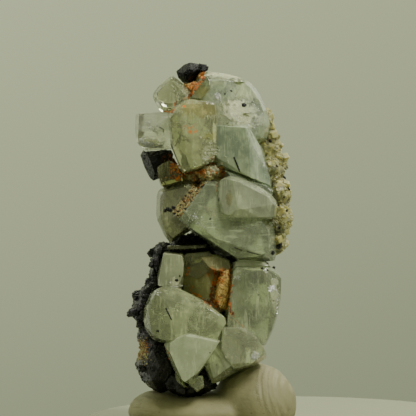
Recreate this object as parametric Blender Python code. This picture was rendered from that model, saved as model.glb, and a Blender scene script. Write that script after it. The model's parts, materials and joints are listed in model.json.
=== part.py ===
"""Aquamarine crystals with schorl and fluorite, standing in a lump of mounting putty."""

import math
import random

import bmesh
import bpy
from mathutils import Euler, Vector, noise

# Lengths below are millimetres, and MM turns them into metres
MM = 0.001

# Minerals that grew against one another keep this gap
GAP = 0.2

# The block that each crystal is cut out of
STOCK = 120.0

# The small crystals that stand out of the crusts
FLUORITE_GRAIN = 0.75
SCHORL_GRAIN = 0.6
SEAM_GRAIN = 0.6
COLLAR_GRAIN = 0.4
GRAIN_SPREAD = (0.7, 1.4)
GRAIN_SUNK = 0.15

# Faces at the back of every crystal: how far to one side, in half widths, then yaw and pitch
BACK_FACES = ((0.0, 176, -3), (0.55, 128, 6), (-0.55, 232, 3))

# Seeds of the uneven surfaces
SCHORL_SEED = 31
CRUST_SEED = 41
SEAM_SEED = 51
COLLAR_SEED = 71
PUTTY_SEED = 60

# Bumps of the lumps: how many go round them, and how uneven the putty is
BUMPS = 2.2
PUTTY_UNEVEN = 0.06

COLOURS = {
    "aquamarine": (0.40, 0.46, 0.34, 1.0),
    "schorl": (0.012, 0.011, 0.013, 1.0),
    "fluorite": (0.42, 0.38, 0.20, 1.0),
    "feldspar": (0.62, 0.33, 0.10, 1.0),
    "putty": (0.42, 0.39, 0.29, 1.0),
}
ROUGHNESS = {
    "aquamarine": 0.12,
    "schorl": 0.35,
    "fluorite": 0.45,
    "feldspar": 0.75,
    "putty": 0.65,
}

# The clear crystals. An outline runs round the crystal as seen from the front, in x and z.
# "mid" is the depth at which it is widest, "front" lists its front faces as x, y, z, yaw, pitch,
# and "back" is the depth of its back.
UPPER_CRYSTALS = {
    "corner": {
        "outline": [
            (-3.6, 34.6), (-5.2, 33.3), (-5.6, 32.5), (-5.2, 31.4), (-4.8, 30.9),
            (-3.6, 30.6), (-1.6, 31.2), (-1.2, 32.6), (-2.3, 33.5), (-3.2, 34.3),
        ],
        "mid": -0.6, "lean": 15, "back": 2.2,
        "front": [(-3.9, -2.4, 32.4, -14, 10)],
    },
    "side": {
        "outline": [
            (-7.3, 30.6), (-3.0, 30.9), (-2.6, 28.5), (-3.2, 27.2), (-6.2, 27.0), (-7.1, 27.7),
            (-7.3, 29.1),
        ],
        "mid": -1.2, "lean": 3, "back": 1.4,
        "front": [(-5.5, -3.2, 28.9, 0, 30), (-5.5, -3.2, 28.9, 0, -28)],
    },
    "barrel": {
        "outline": [
            (-1.8, 32.2), (-2.9, 31.7), (-4.1, 30.5), (-4.2, 29.1), (-3.9, 27.7), (-3.2, 26.1),
            (-2.5, 24.7), (-0.7, 25.1), (0.85, 26.3), (1.0, 28.0), (1.1, 30.0), (0.85, 31.8),
        ],
        "mid": -3.8, "lean": 9, "back": 2.0,
        "front": [
            (-1.5, -6.3, 29.6, 4, 2), (-1.0, -6.1, 27.4, 16, -12), (-2.8, -5.9, 27.6, -26, -8),
            (-1.2, -5.9, 31.3, 2, 38),
        ],
    },
    "dome": {
        "outline": [
            (0.1, 34.8), (-0.7, 34.2), (-1.6, 32.4), (-0.8, 29.5), (1.4, 28.0), (4.4, 27.2),
            (5.9, 28.0), (6.2, 29.4), (5.9, 31.0), (5.4, 32.2), (4.8, 33.2), (3.9, 34.0),
            (2.25, 34.4),
        ],
        "mid": -0.6, "lean": 12, "back": 3.6,
        "front": [
            (3.0, -4.3, 31.2, 14, 12), (0.6, -4.0, 33.2, -18, 30), (4.6, -3.8, 29.8, 34, -4),
            (1.4, -4.4, 31.0, -10, 6),
        ],
    },
    "column": {
        "outline": [
            (0.4, 29.8), (0.5, 26.2), (1.2, 25.3), (6.3, 23.1), (6.45, 23.6), (5.3, 27.4),
            (4.4, 29.4), (3.0, 30.4),
        ],
        "mid": -1.0, "lean": 6, "back": 2.4,
        "front": [(3.2, -4.9, 27.0, -9, -3), (4.75, -4.55, 26.0, 48, 4)],
    },
}

MIDDLE_CRYSTALS = {
    "shoulder": {
        "outline": [
            (-1.7, 24.1), (-3.5, 23.8), (-4.6, 23.3), (-5.2, 22.7), (-5.4, 21.6), (-5.2, 20.2),
            (-5.05, 19.3), (-4.5, 18.5), (-3.8, 17.5), (-1.0, 19.4), (0.6, 22.4),
        ],
        "mid": -1.2, "lean": 12, "back": 2.6,
        "front": [(-3.2, -4.0, 21.4, -16, 4), (-3.4, -3.9, 19.6, -8, -24)],
    },
    "tilted": {
        "outline": [
            (-0.3, 24.2), (-3.5, 20.4), (-3.0, 19.8), (0.85, 16.5), (2.5, 15.7), (6.6, 15.9),
            (6.9, 17.5), (6.5, 20.0), (4.6, 22.0), (1.2, 24.0),
        ],
        "mid": -1.2, "lean": 8, "back": 2.2,
        "front": [
            (1.0, -5.8, 20.2, -6, 4), (-1.7, -5.8, 22.5, -48, 34), (0.3, -5.4, 17.7, -32, -38),
        ],
    },
    "wedge": {
        "outline": [
            (1.4, 24.3), (0.7, 23.4), (0.85, 22.1), (1.3, 20.4), (2.95, 19.8), (5.3, 19.9),
            (6.7, 20.2), (6.9, 21.7), (6.2, 22.5), (4.9, 23.5), (2.7, 24.4),
        ],
        "mid": -4.4, "lean": 8, "back": 1.8,
        "front": [(2.9, -7.3, 22.6, -38, 2), (2.9, -7.3, 22.6, 12, 3), (4.4, -6.9, 20.7, 6, -30)],
    },
}

LOWER_CRYSTALS = {
    "block": {
        "outline": [
            (2.5, 15.4), (5.9, 15.45), (7.3, 14.4), (7.4, 13.5), (7.2, 12.1), (6.9, 10.7),
            (6.4, 9.0), (5.7, 7.4), (4.0, 7.2), (1.7, 9.2),
        ],
        "mid": -2.8, "lean": 4, "back": 2.6,
        "front": [(4.4, -6.4, 12.0, 4, 2), (6.4, -6.0, 13.6, 34, 10), (4.4, -6.2, 15.0, 0, 42)],
    },
    "lintel": {
        "outline": [(-2.6, 16.6), (-2.7, 14.6), (-1.0, 14.0), (0.8, 15.4), (0.2, 16.85)],
        "mid": -1.8, "lean": 3, "back": 1.6,
        "front": [(-1.2, -3.0, 16.1, -10, 8)],
    },
    "recessed": {
        "outline": [
            (-2.6, 15.0), (-1.1, 15.5), (0.9, 16.1), (3.2, 15.0), (3.2, 11.4), (0.1, 10.4),
            (-2.4, 11.8),
        ],
        "mid": -2.0, "lean": 4, "back": 2.8,
        "front": [(0.0, -3.3, 14.1, -30, 0), (0.0, -3.3, 14.1, 20, 12)],
    },
    "bright": {
        "outline": [
            (-4.5, 16.8), (-4.8, 15.8), (-5.05, 14.7), (-5.05, 13.4), (-2.9, 12.8), (-2.4, 13.4),
            (-2.3, 15.5), (-2.5, 16.6),
        ],
        "mid": -2.5, "lean": 4, "back": 1.2,
        "front": [(-3.6, -4.9, 15.0, -6, 3)],
    },
    "broad": {
        "outline": [
            (-5.05, 13.55), (-5.75, 12.6), (-6.3, 11.3), (-6.45, 9.5), (-5.6, 8.1), (-4.1, 7.6),
            (0.4, 7.1), (1.4, 7.8), (2.2, 9.6), (1.9, 10.6), (-1.0, 12.4), (-2.5, 13.3),
        ],
        "mid": -4.4, "lean": 9, "back": 1.0,
        "front": [
            (-2.0, -7.3, 9.9, 4, 3), (-4.9, -7.0, 10.6, -24, 8), (-0.6, -6.9, 11.3, 10, 34),
        ],
    },
    "pointer": {
        "outline": [
            (-1.8, 8.9), (-2.7, 8.8), (-4.35, 7.65), (-4.0, 6.6), (-3.45, 5.0), (-2.7, 4.0),
            (-2.0, 3.7), (-1.5, 3.9), (-0.4, 5.4), (0.85, 7.2), (1.4, 8.1),
        ],
        "mid": -5.4, "lean": 5, "back": -1.0,
        "front": [(-1.7, -8.2, 6.6, 2, -4)],
    },
    "chip": {
        "outline": [(-1.9, 4.5), (-2.0, 3.7), (-1.1, 2.9), (-0.4, 3.4), (-0.5, 4.6)],
        "mid": -6.0, "lean": 10, "back": -3.6,
        "front": [(-1.2, -6.9, 3.8, 6, -16)],
    },
    "foot": {
        "outline": [
            (1.7, 9.6), (-1.0, 8.4), (-0.5, 5.4), (0.1, 4.0), (0.4, 3.6), (1.55, 4.0), (3.4, 4.9),
            (3.6, 8.6),
        ],
        "mid": -3.4, "lean": 7, "back": 1.6,
        "front": [(1.2, -6.6, 6.0, -16, -8), (2.0, -6.6, 7.4, 18, 6)],
    },
    "heel": {
        "outline": [
            (1.0, 9.8), (0.8, 7.0), (2.4, 4.8), (4.8, 5.4), (5.9, 6.25), (6.0, 7.2), (5.2, 8.6),
            (3.65, 9.8),
        ],
        "mid": -3.4, "lean": 8, "back": 2.4,
        "front": [(3.6, -6.8, 7.2, 8, -6), (5.0, -6.5, 6.4, 34, -22)],
    },
}

FELDSPAR_WEDGE = {
    "wedge": {
        "outline": [
            (2.2, 15.3), (1.5, 15.0), (1.0, 13.9), (0.85, 13.0), (0.75, 12.1), (1.1, 11.2),
            (1.75, 11.1), (1.95, 12.0), (2.2, 13.2),
        ],
        "mid": -4.0, "lean": 9, "back": -3.4,
        "front": [(1.5, -5.2, 13.3, -26, 4)],
    },
}

SCHORL_CROWN = {
    "cap": {
        "outline": [
            (-3.2, 34.9), (-2.4, 35.6), (-1.8, 35.8), (-0.5, 35.6), (-0.1, 35.2), (-1.0, 34.2),
            (-2.0, 33.4), (-2.6, 33.7), (-3.0, 34.3),
        ],
        "mid": -0.4, "lean": 24, "back": 1.6,
        "front": [(-1.9, -1.9, 34.9, -16, 14), (-1.2, -1.8, 35.0, 28, 20), (-1.9, -1.8, 34.4, -4, -26)],
    },
    "spur": {
        "outline": [(-0.9, 35.7), (-0.2, 35.6), (0.05, 35.2), (-0.3, 34.8), (-1.1, 34.8)],
        "mid": -0.9, "lean": 14, "back": 0.9,
        "front": [(-0.5, -1.5, 35.2, 22, 30)],
    },
}

SCHORL_KNOB = {
    "head": {
        "outline": [
            (-6.8, 26.5), (-6.5, 27.0), (-4.0, 27.5), (-3.5, 26.6), (-3.7, 25.0), (-4.8, 24.2),
            (-5.5, 23.9), (-5.9, 24.3), (-6.4, 25.3),
        ],
        "mid": -1.4, "lean": 20, "back": 1.4,
        "front": [(-5.6, -3.6, 25.9, -20, 8), (-4.6, -3.5, 26.3, 22, 22), (-5.2, -3.4, 25.0, -6, -22)],
    },
    "root": {
        "outline": [(-4.7, 25.8), (-3.4, 26.2), (-2.7, 24.7), (-3.6, 24.1), (-4.6, 24.0)],
        "mid": -1.0, "lean": 12, "back": 1.2,
        "front": [(-3.9, -2.8, 25.0, 10, -10)],
    },
}

# Rust-stained grains in the notch under the black crown
COLLAR_LUMPS = [
    ((-1.5, -0.2, 33.3), (1.0, 1.3, 1.0), 0.20),
    ((-0.8, -0.6, 34.5), (0.5, 0.8, 0.5), 0.15),
]

# Broken, rust-stained grains in the seam between the upper and the middle crystals
SEAM_LUMPS = [
    ((0.0, -2.4, 24.9), (1.5, 1.9, 0.95), 0.25),
    ((1.4, -1.6, 24.9), (1.2, 1.8, 0.9), 0.25),
    ((-1.6, -0.8, 24.3), (1.6, 1.7, 0.6), 0.20),
]

# Black lumps as x, y, z of the middle, three half-sizes, and how rough the surface is
SCHORL_MASS_LUMPS = [
    ((-4.5, -0.6, 16.9), (0.95, 2.0, 0.8), 0.25),
    ((-4.9, -0.4, 15.2), (0.9, 2.3, 1.5), 0.30),
    ((-5.7, -0.6, 12.9), (1.2, 2.8, 1.6), 0.35),
    ((-6.1, -0.8, 11.0), (1.65, 3.0, 1.7), 0.35),
    ((-5.2, -0.6, 8.2), (1.9, 3.6, 2.4), 0.30),
    ((-4.8, -1.6, 5.4), (2.45, 3.7, 2.8), 0.25),
    ((-1.9, -2.2, 4.1), (3.0, 3.4, 1.9), 0.10),
    ((-1.4, 1.2, 17.0), (2.9, 2.5, 1.5), 0.25),
    ((-2.4, 2.6, 13.0), (3.6, 1.7, 3.4), 0.40),
    ((1.2, 2.8, 9.8), (3.6, 1.5, 3.2), 0.40),
    ((3.2, 2.7, 14.8), (3.0, 1.4, 2.3), 0.35),
    ((-2.6, 2.4, 8.0), (3.6, 2.2, 3.6), 0.40),
]

# Pale lumps of the crust on the right edge and on the back
CRUST_LUMPS = [
    ((5.6, 1.8, 29.4), (1.0, 2.4, 1.6), 0.25),
    ((5.9, 1.8, 27.4), (1.25, 2.8, 1.6), 0.30),
    ((6.4, 1.0, 25.0), (1.25, 3.0, 1.8), 0.30),
    ((7.0, 0.4, 22.5), (1.25, 3.1, 1.8), 0.30),
    ((7.2, 0.2, 20.2), (1.25, 3.0, 1.8), 0.30),
    ((6.9, 0.3, 18.0), (0.9, 2.6, 1.3), 0.25),
    ((3.2, 3.2, 29.4), (3.0, 1.5, 2.6), 0.40),
    ((3.4, 3.1, 25.6), (3.4, 1.5, 2.8), 0.40),
    ((0.2, 2.6, 24.0), (3.2, 1.4, 2.2), 0.40),
    ((3.9, 3.0, 20.6), (3.0, 1.4, 3.0), 0.40),
]

# The putty as squashed balls pressed together
PUTTY_LUMPS = [
    ((-4.9, -0.4, 0.6), (3.2, 5.6, 2.3)),
    ((-0.6, -0.6, 0.2), (5.4, 6.2, 2.6)),
    ((4.7, -0.4, 1.4), (4.2, 5.8, 4.2)),
]


def material(kind):
    """The plain finish of one mineral."""
    made = bpy.data.materials.get(kind) or bpy.data.materials.new(kind)
    made.use_nodes = True
    shader = made.node_tree.nodes["Principled BSDF"]
    shader.inputs["Base Color"].default_value = COLOURS[kind]
    shader.inputs["Roughness"].default_value = ROUGHNESS[kind]
    shader.inputs["Metallic"].default_value = 0.0
    made.diffuse_color = COLOURS[kind]
    return made


def new_object(name, mesh_source, collection):
    """Turns a bmesh in millimetres into an object of the collection."""
    bmesh.ops.scale(mesh_source, vec=(MM, MM, MM), verts=mesh_source.verts)
    bmesh.ops.recalc_face_normals(mesh_source, faces=mesh_source.faces)
    mesh = bpy.data.meshes.new(name)
    mesh_source.to_mesh(mesh)
    mesh_source.free()
    made = bpy.data.objects.new(name, mesh)
    collection.objects.link(made)
    return made


def facing(yaw, pitch):
    """Unit vector towards the viewer, turned by yaw to the right and by pitch upwards."""
    yaw = math.radians(yaw)
    pitch = math.radians(pitch)
    return Vector((math.sin(yaw) * math.cos(pitch), -math.cos(yaw) * math.cos(pitch), math.sin(pitch)))


def crystal_planes(shape):
    """The faces of one crystal, each as a point on it and its outward direction."""
    outline = [Vector((x, 0.0, z)) for x, z in shape["outline"]]
    middle = sum(outline, Vector()) / len(outline)
    girdle = Vector((0.0, shape["mid"], 0.0))
    lean = math.radians(shape["lean"])
    planes = []
    for start, end in zip(outline, outline[1:] + outline[:1]):
        along = end - start
        outward = Vector((along.z, 0.0, -along.x)).normalized()
        if outward.dot(start - middle) < 0.0:
            outward.negate()
        for turn in (-lean, lean):
            planes.append((start + girdle, outward * math.cos(turn) + Vector((0.0, math.sin(turn), 0.0))))
    for x, y, z, yaw, pitch in shape["front"]:
        planes.append((Vector((x, y, z)), facing(yaw, pitch)))
    half_width = 0.5 * (max(x for x, _ in shape["outline"]) - min(x for x, _ in shape["outline"]))
    for side, yaw, pitch in BACK_FACES:
        behind = Vector((middle.x + side * half_width, shape["back"], middle.z))
        planes.append((behind, facing(yaw, pitch)))
    return planes


def crystal_mesh(shape, grow=0.0):
    """One convex crystal cut out of a block by its faces, each moved out by grow."""
    solid = bmesh.new()
    bmesh.ops.create_cube(solid, size=STOCK)
    for point, outward in crystal_planes(shape):
        everything = solid.verts[:] + solid.edges[:] + solid.faces[:]
        cut = bmesh.ops.bisect_plane(
            solid, geom=everything, dist=1e-5, clear_outer=True,
            plane_co=point + outward * grow, plane_no=outward,
        )
        rim = [part for part in cut["geom_cut"] if isinstance(part, bmesh.types.BMEdge)]
        if rim:
            bmesh.ops.contextual_create(solid, geom=rim)
    bmesh.ops.dissolve_degenerate(solid, dist=1e-3, edges=solid.edges)
    return solid


def lump_mesh(middle, half_sizes, rough, seed, grow=0.0, levels=2):
    """A rough ball with flat faces. Grow moves its surface out evenly."""
    solid = bmesh.new()
    bmesh.ops.create_icosphere(solid, subdivisions=levels, radius=1.0)
    for vert in solid.verts:
        way = vert.co.normalized()
        swell = 1.0 + rough * noise.noise(way * BUMPS + Vector((7.3, 1.7, 3.1)) * seed)
        vert.co = Vector(way[i] * (half_sizes[i] * swell + grow) for i in range(3)) + Vector(middle)
    return solid


def grain_mesh(kind, middle, size, turn):
    """One small crystal: a six-sided prism of schorl or a cube of fluorite."""
    solid = bmesh.new()
    if kind == "schorl":
        bmesh.ops.create_cone(
            solid, cap_ends=True, segments=6, radius1=size * 0.5, radius2=size * 0.42, depth=size * 1.8
        )
    else:
        bmesh.ops.create_cube(solid, size=size)
    bmesh.ops.rotate(solid, verts=solid.verts, cent=(0, 0, 0), matrix=turn)
    bmesh.ops.translate(solid, verts=solid.verts, vec=middle)
    return solid


def helper_collection(name):
    """A collection of shapes that others are fused with or cut by."""
    made = bpy.data.collections.new(name)
    bpy.data.collections["cutters"].children.link(made)
    return made


def parts_collection():
    return bpy.data.collections["aquamarine_with_fluorite_and_schorl"]


def helper(name, mesh_source, collection):
    made = new_object(name, mesh_source, collection)
    made.hide_render = True
    made.display_type = "WIRE"
    return made


def boolean(target, operation, collection):
    modifier = target.modifiers.new(operation.lower(), "BOOLEAN")
    modifier.operation = operation
    modifier.operand_type = "COLLECTION"
    modifier.collection = collection
    modifier.solver = "EXACT"


def cleared(body, *cutters):
    """Cuts the body back from its neighbours."""
    for each in cutters:
        boolean(body, "DIFFERENCE", each)


def settled(body):
    """Makes the fused and cut shape the object's own mesh, without specks that came loose."""
    shape = bpy.data.meshes.new_from_object(body.evaluated_get(bpy.context.evaluated_depsgraph_get()))
    solid = bmesh.new()
    solid.from_mesh(shape)
    loose = set(solid.verts)
    largest = set()
    while loose:
        start = loose.pop()
        piece = {start}
        ahead = [start]
        while ahead:
            for edge in ahead.pop().link_edges:
                for vert in edge.verts:
                    if vert not in piece:
                        piece.add(vert)
                        ahead.append(vert)
        loose -= piece
        largest = max(largest, piece, key=len)
    bmesh.ops.delete(solid, geom=[v for v in solid.verts if v not in largest], context="VERTS")
    solid.to_mesh(shape)
    solid.free()
    body.modifiers.clear()
    body.data = shape
    return body


def crystal_cluster(name, shapes, kind="aquamarine"):
    """Crystals grown together, fused into one solid."""
    names = list(shapes)
    body = new_object(name, crystal_mesh(shapes[names[0]]), parts_collection())
    others = helper_collection(name + "_crystals")
    for each in names[1:]:
        helper(name + "_" + each, crystal_mesh(shapes[each]), others)
    boolean(body, "UNION", others)
    body.data.materials.append(material(kind))
    return body


def surface_spots(lumps, count, seed, allowed):
    """Seeded spots on the outer side of the lumps, as points with outward directions."""
    chance = random.Random(seed)
    spots = []
    while len(spots) < count:
        middle, half_sizes, _ = chance.choice(lumps)
        way = Vector(chance.gauss(0.0, 1.0) for _ in range(3)).normalized()
        spot = Vector(middle[i] + way[i] * half_sizes[i] * 0.97 for i in range(3))
        if any(inside(spot, other) for other in lumps if other[0] != middle):
            continue
        if allowed(spot):
            spots.append((spot, way))
    return spots


def inside(spot, lump):
    middle, half_sizes, _ = lump
    return sum(((spot[i] - middle[i]) / (half_sizes[i] * 0.92)) ** 2 for i in range(3)) < 1.0


def mineral_mass(name, kind, lumps, grains, grain_size, seed, allowed):
    """Lumps fused into one body, with small crystals standing out of its surface."""
    body = None
    others = helper_collection(name + "_lumps")
    for index, (middle, half_sizes, rough) in enumerate(lumps):
        solid = lump_mesh(middle, half_sizes, rough, seed + index)
        if body is None:
            body = new_object(name, solid, parts_collection())
        else:
            helper(f"{name}_lump_{index}", solid, others)
    chance = random.Random(seed + 100)
    for index, (spot, way) in enumerate(surface_spots(lumps, grains, seed, allowed)):
        size = grain_size * chance.uniform(*GRAIN_SPREAD)
        lean = Euler([chance.uniform(-0.6, 0.6) for _ in range(3)]).to_matrix()
        turn = lean @ way.to_track_quat("Z", "Y").to_matrix()
        helper(f"{name}_grain_{index}", grain_mesh(kind, spot - way * size * GRAIN_SUNK, size, turn), others)
    boolean(body, "UNION", others)
    body.data.materials.append(material(kind))
    return body


def clearance(name, shapes, grow=GAP):
    """The crystals, swollen by the gap, as cutters for what grew against them."""
    cutters = helper_collection(name)
    for each, shape in shapes.items():
        helper(name + "_" + each, crystal_mesh(shape, grow), cutters)
    return cutters


def lump_clearance(name, lumps, seed):
    cutters = helper_collection(name)
    for index, (middle, half_sizes, rough) in enumerate(lumps):
        helper(f"{name}_{index}", lump_mesh(middle, half_sizes, rough, seed + index, GAP), cutters)
    return cutters


def putty():
    """A pressed lump with a flat underside, hollowed where the specimen sits in it."""
    body = None
    others = helper_collection("putty_lumps")
    for index, (middle, half_sizes) in enumerate(PUTTY_LUMPS):
        solid = lump_mesh(middle, half_sizes, PUTTY_UNEVEN, PUTTY_SEED + index, levels=3)
        bmesh.ops.bisect_plane(
            solid, geom=solid.verts[:] + solid.edges[:] + solid.faces[:], dist=1e-5, clear_outer=True,
            plane_co=(0, 0, 0), plane_no=(0, 0, -1),
        )
        bmesh.ops.holes_fill(solid, edges=solid.edges[:])
        if body is None:
            body = new_object("mounting_putty", solid, parts_collection())
        else:
            helper(f"putty_lump_{index}", solid, others)
    boolean(body, "UNION", others)
    body.data.materials.append(material("putty"))
    return body


def clear_scene():
    for old in list(bpy.data.objects):
        bpy.data.objects.remove(old, do_unlink=True)
    for name in ("aquamarine_with_fluorite_and_schorl", "cutters"):
        bpy.context.scene.collection.children.link(bpy.data.collections.new(name))


def build():
    clear_scene()
    crystals = clearance("around_crystals", {**UPPER_CRYSTALS, **MIDDLE_CRYSTALS, **LOWER_CRYSTALS})
    wedges = clearance("around_wedge", FELDSPAR_WEDGE)
    knobs = clearance("around_knobs", {**SCHORL_CROWN, **SCHORL_KNOB})
    masses = lump_clearance("around_mass", SCHORL_MASS_LUMPS, SCHORL_SEED)

    crystal_cluster("aquamarine_upper", UPPER_CRYSTALS)
    crystal_cluster("aquamarine_middle", MIDDLE_CRYSTALS)
    crystal_cluster("aquamarine_lower", LOWER_CRYSTALS)
    cleared(crystal_cluster("schorl_crown", SCHORL_CROWN, "schorl"), crystals)
    cleared(crystal_cluster("schorl_knob", SCHORL_KNOB, "schorl"), crystals)
    cleared(crystal_cluster("feldspar_wedge", FELDSPAR_WEDGE, "feldspar"), crystals)

    collar = mineral_mass(
        "feldspar_collar", "feldspar", COLLAR_LUMPS, 6, COLLAR_GRAIN, COLLAR_SEED,
        lambda spot: spot.y < -0.8,
    )
    cleared(collar, crystals, knobs)
    seam = mineral_mass(
        "feldspar_seam", "feldspar", SEAM_LUMPS, 14, SEAM_GRAIN, SEAM_SEED,
        lambda spot: spot.y < -2.4,
    )
    cleared(seam, crystals, knobs)
    mass = mineral_mass(
        "schorl_mass", "schorl", SCHORL_MASS_LUMPS, 46, SCHORL_GRAIN, SCHORL_SEED,
        lambda spot: spot.x < -5.2 or spot.y > 2.6,
    )
    cleared(mass, crystals, wedges)
    crust = mineral_mass(
        "fluorite_crust", "fluorite", CRUST_LUMPS, 46, FLUORITE_GRAIN, CRUST_SEED,
        lambda spot: spot.x > 6.0 or spot.y > 2.8,
    )
    cleared(crust, crystals, masses, knobs)
    cleared(putty(), crystals, masses)

    for made in list(parts_collection().objects):
        settled(made)
    for cutter in list(bpy.data.collections["cutters"].all_objects):
        bpy.data.objects.remove(cutter, do_unlink=True)


build()
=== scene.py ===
"""Aquamarine with fluorite and schorl: crystals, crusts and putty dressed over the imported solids."""

import json
import math
import random

import bmesh
import bpy
import numpy as np
from bpy.props import FloatProperty, FloatVectorProperty, IntProperty, PointerProperty
from mathutils import Euler, Matrix, Vector, noise
from mathutils.bvhtree import BVHTree

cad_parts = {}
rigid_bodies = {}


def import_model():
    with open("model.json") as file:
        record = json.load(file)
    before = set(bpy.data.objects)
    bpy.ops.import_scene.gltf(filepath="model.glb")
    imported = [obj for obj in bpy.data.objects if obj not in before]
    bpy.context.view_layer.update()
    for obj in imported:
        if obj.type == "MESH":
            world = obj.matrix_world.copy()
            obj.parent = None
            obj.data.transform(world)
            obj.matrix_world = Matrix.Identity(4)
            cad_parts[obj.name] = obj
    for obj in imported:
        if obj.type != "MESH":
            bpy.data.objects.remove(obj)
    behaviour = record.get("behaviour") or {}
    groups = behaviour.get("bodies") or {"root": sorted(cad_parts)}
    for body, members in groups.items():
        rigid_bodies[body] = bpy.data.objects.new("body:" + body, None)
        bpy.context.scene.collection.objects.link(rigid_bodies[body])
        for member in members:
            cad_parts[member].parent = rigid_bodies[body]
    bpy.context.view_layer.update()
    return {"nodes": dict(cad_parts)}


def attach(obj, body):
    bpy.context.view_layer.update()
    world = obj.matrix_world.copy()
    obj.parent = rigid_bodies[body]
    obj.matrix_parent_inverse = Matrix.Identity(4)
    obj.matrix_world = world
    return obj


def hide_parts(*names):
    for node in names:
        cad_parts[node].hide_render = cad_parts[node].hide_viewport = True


bl_info = {
    "name": "Aquamarine Specimen",
    "version": (1, 0, 0),
    "blender": (4, 5, 0),
    "location": "View3D > Sidebar > Specimen",
    "description": "Dresses an aquamarine, schorl and fluorite specimen on its putty",
    "category": "Object",
}

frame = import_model()

# Shapes below are in millimetres, and MM turns them into metres
MM = 0.001
STOCK = 120.0

# A chip with a larger area than this, in square millimetres, looks like a face of its crystal
SMALL_CHIP = 0.35
BACK_FACES = ((0.0, 176, -3), (0.55, 128, 6), (-0.55, 232, 3))

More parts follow.
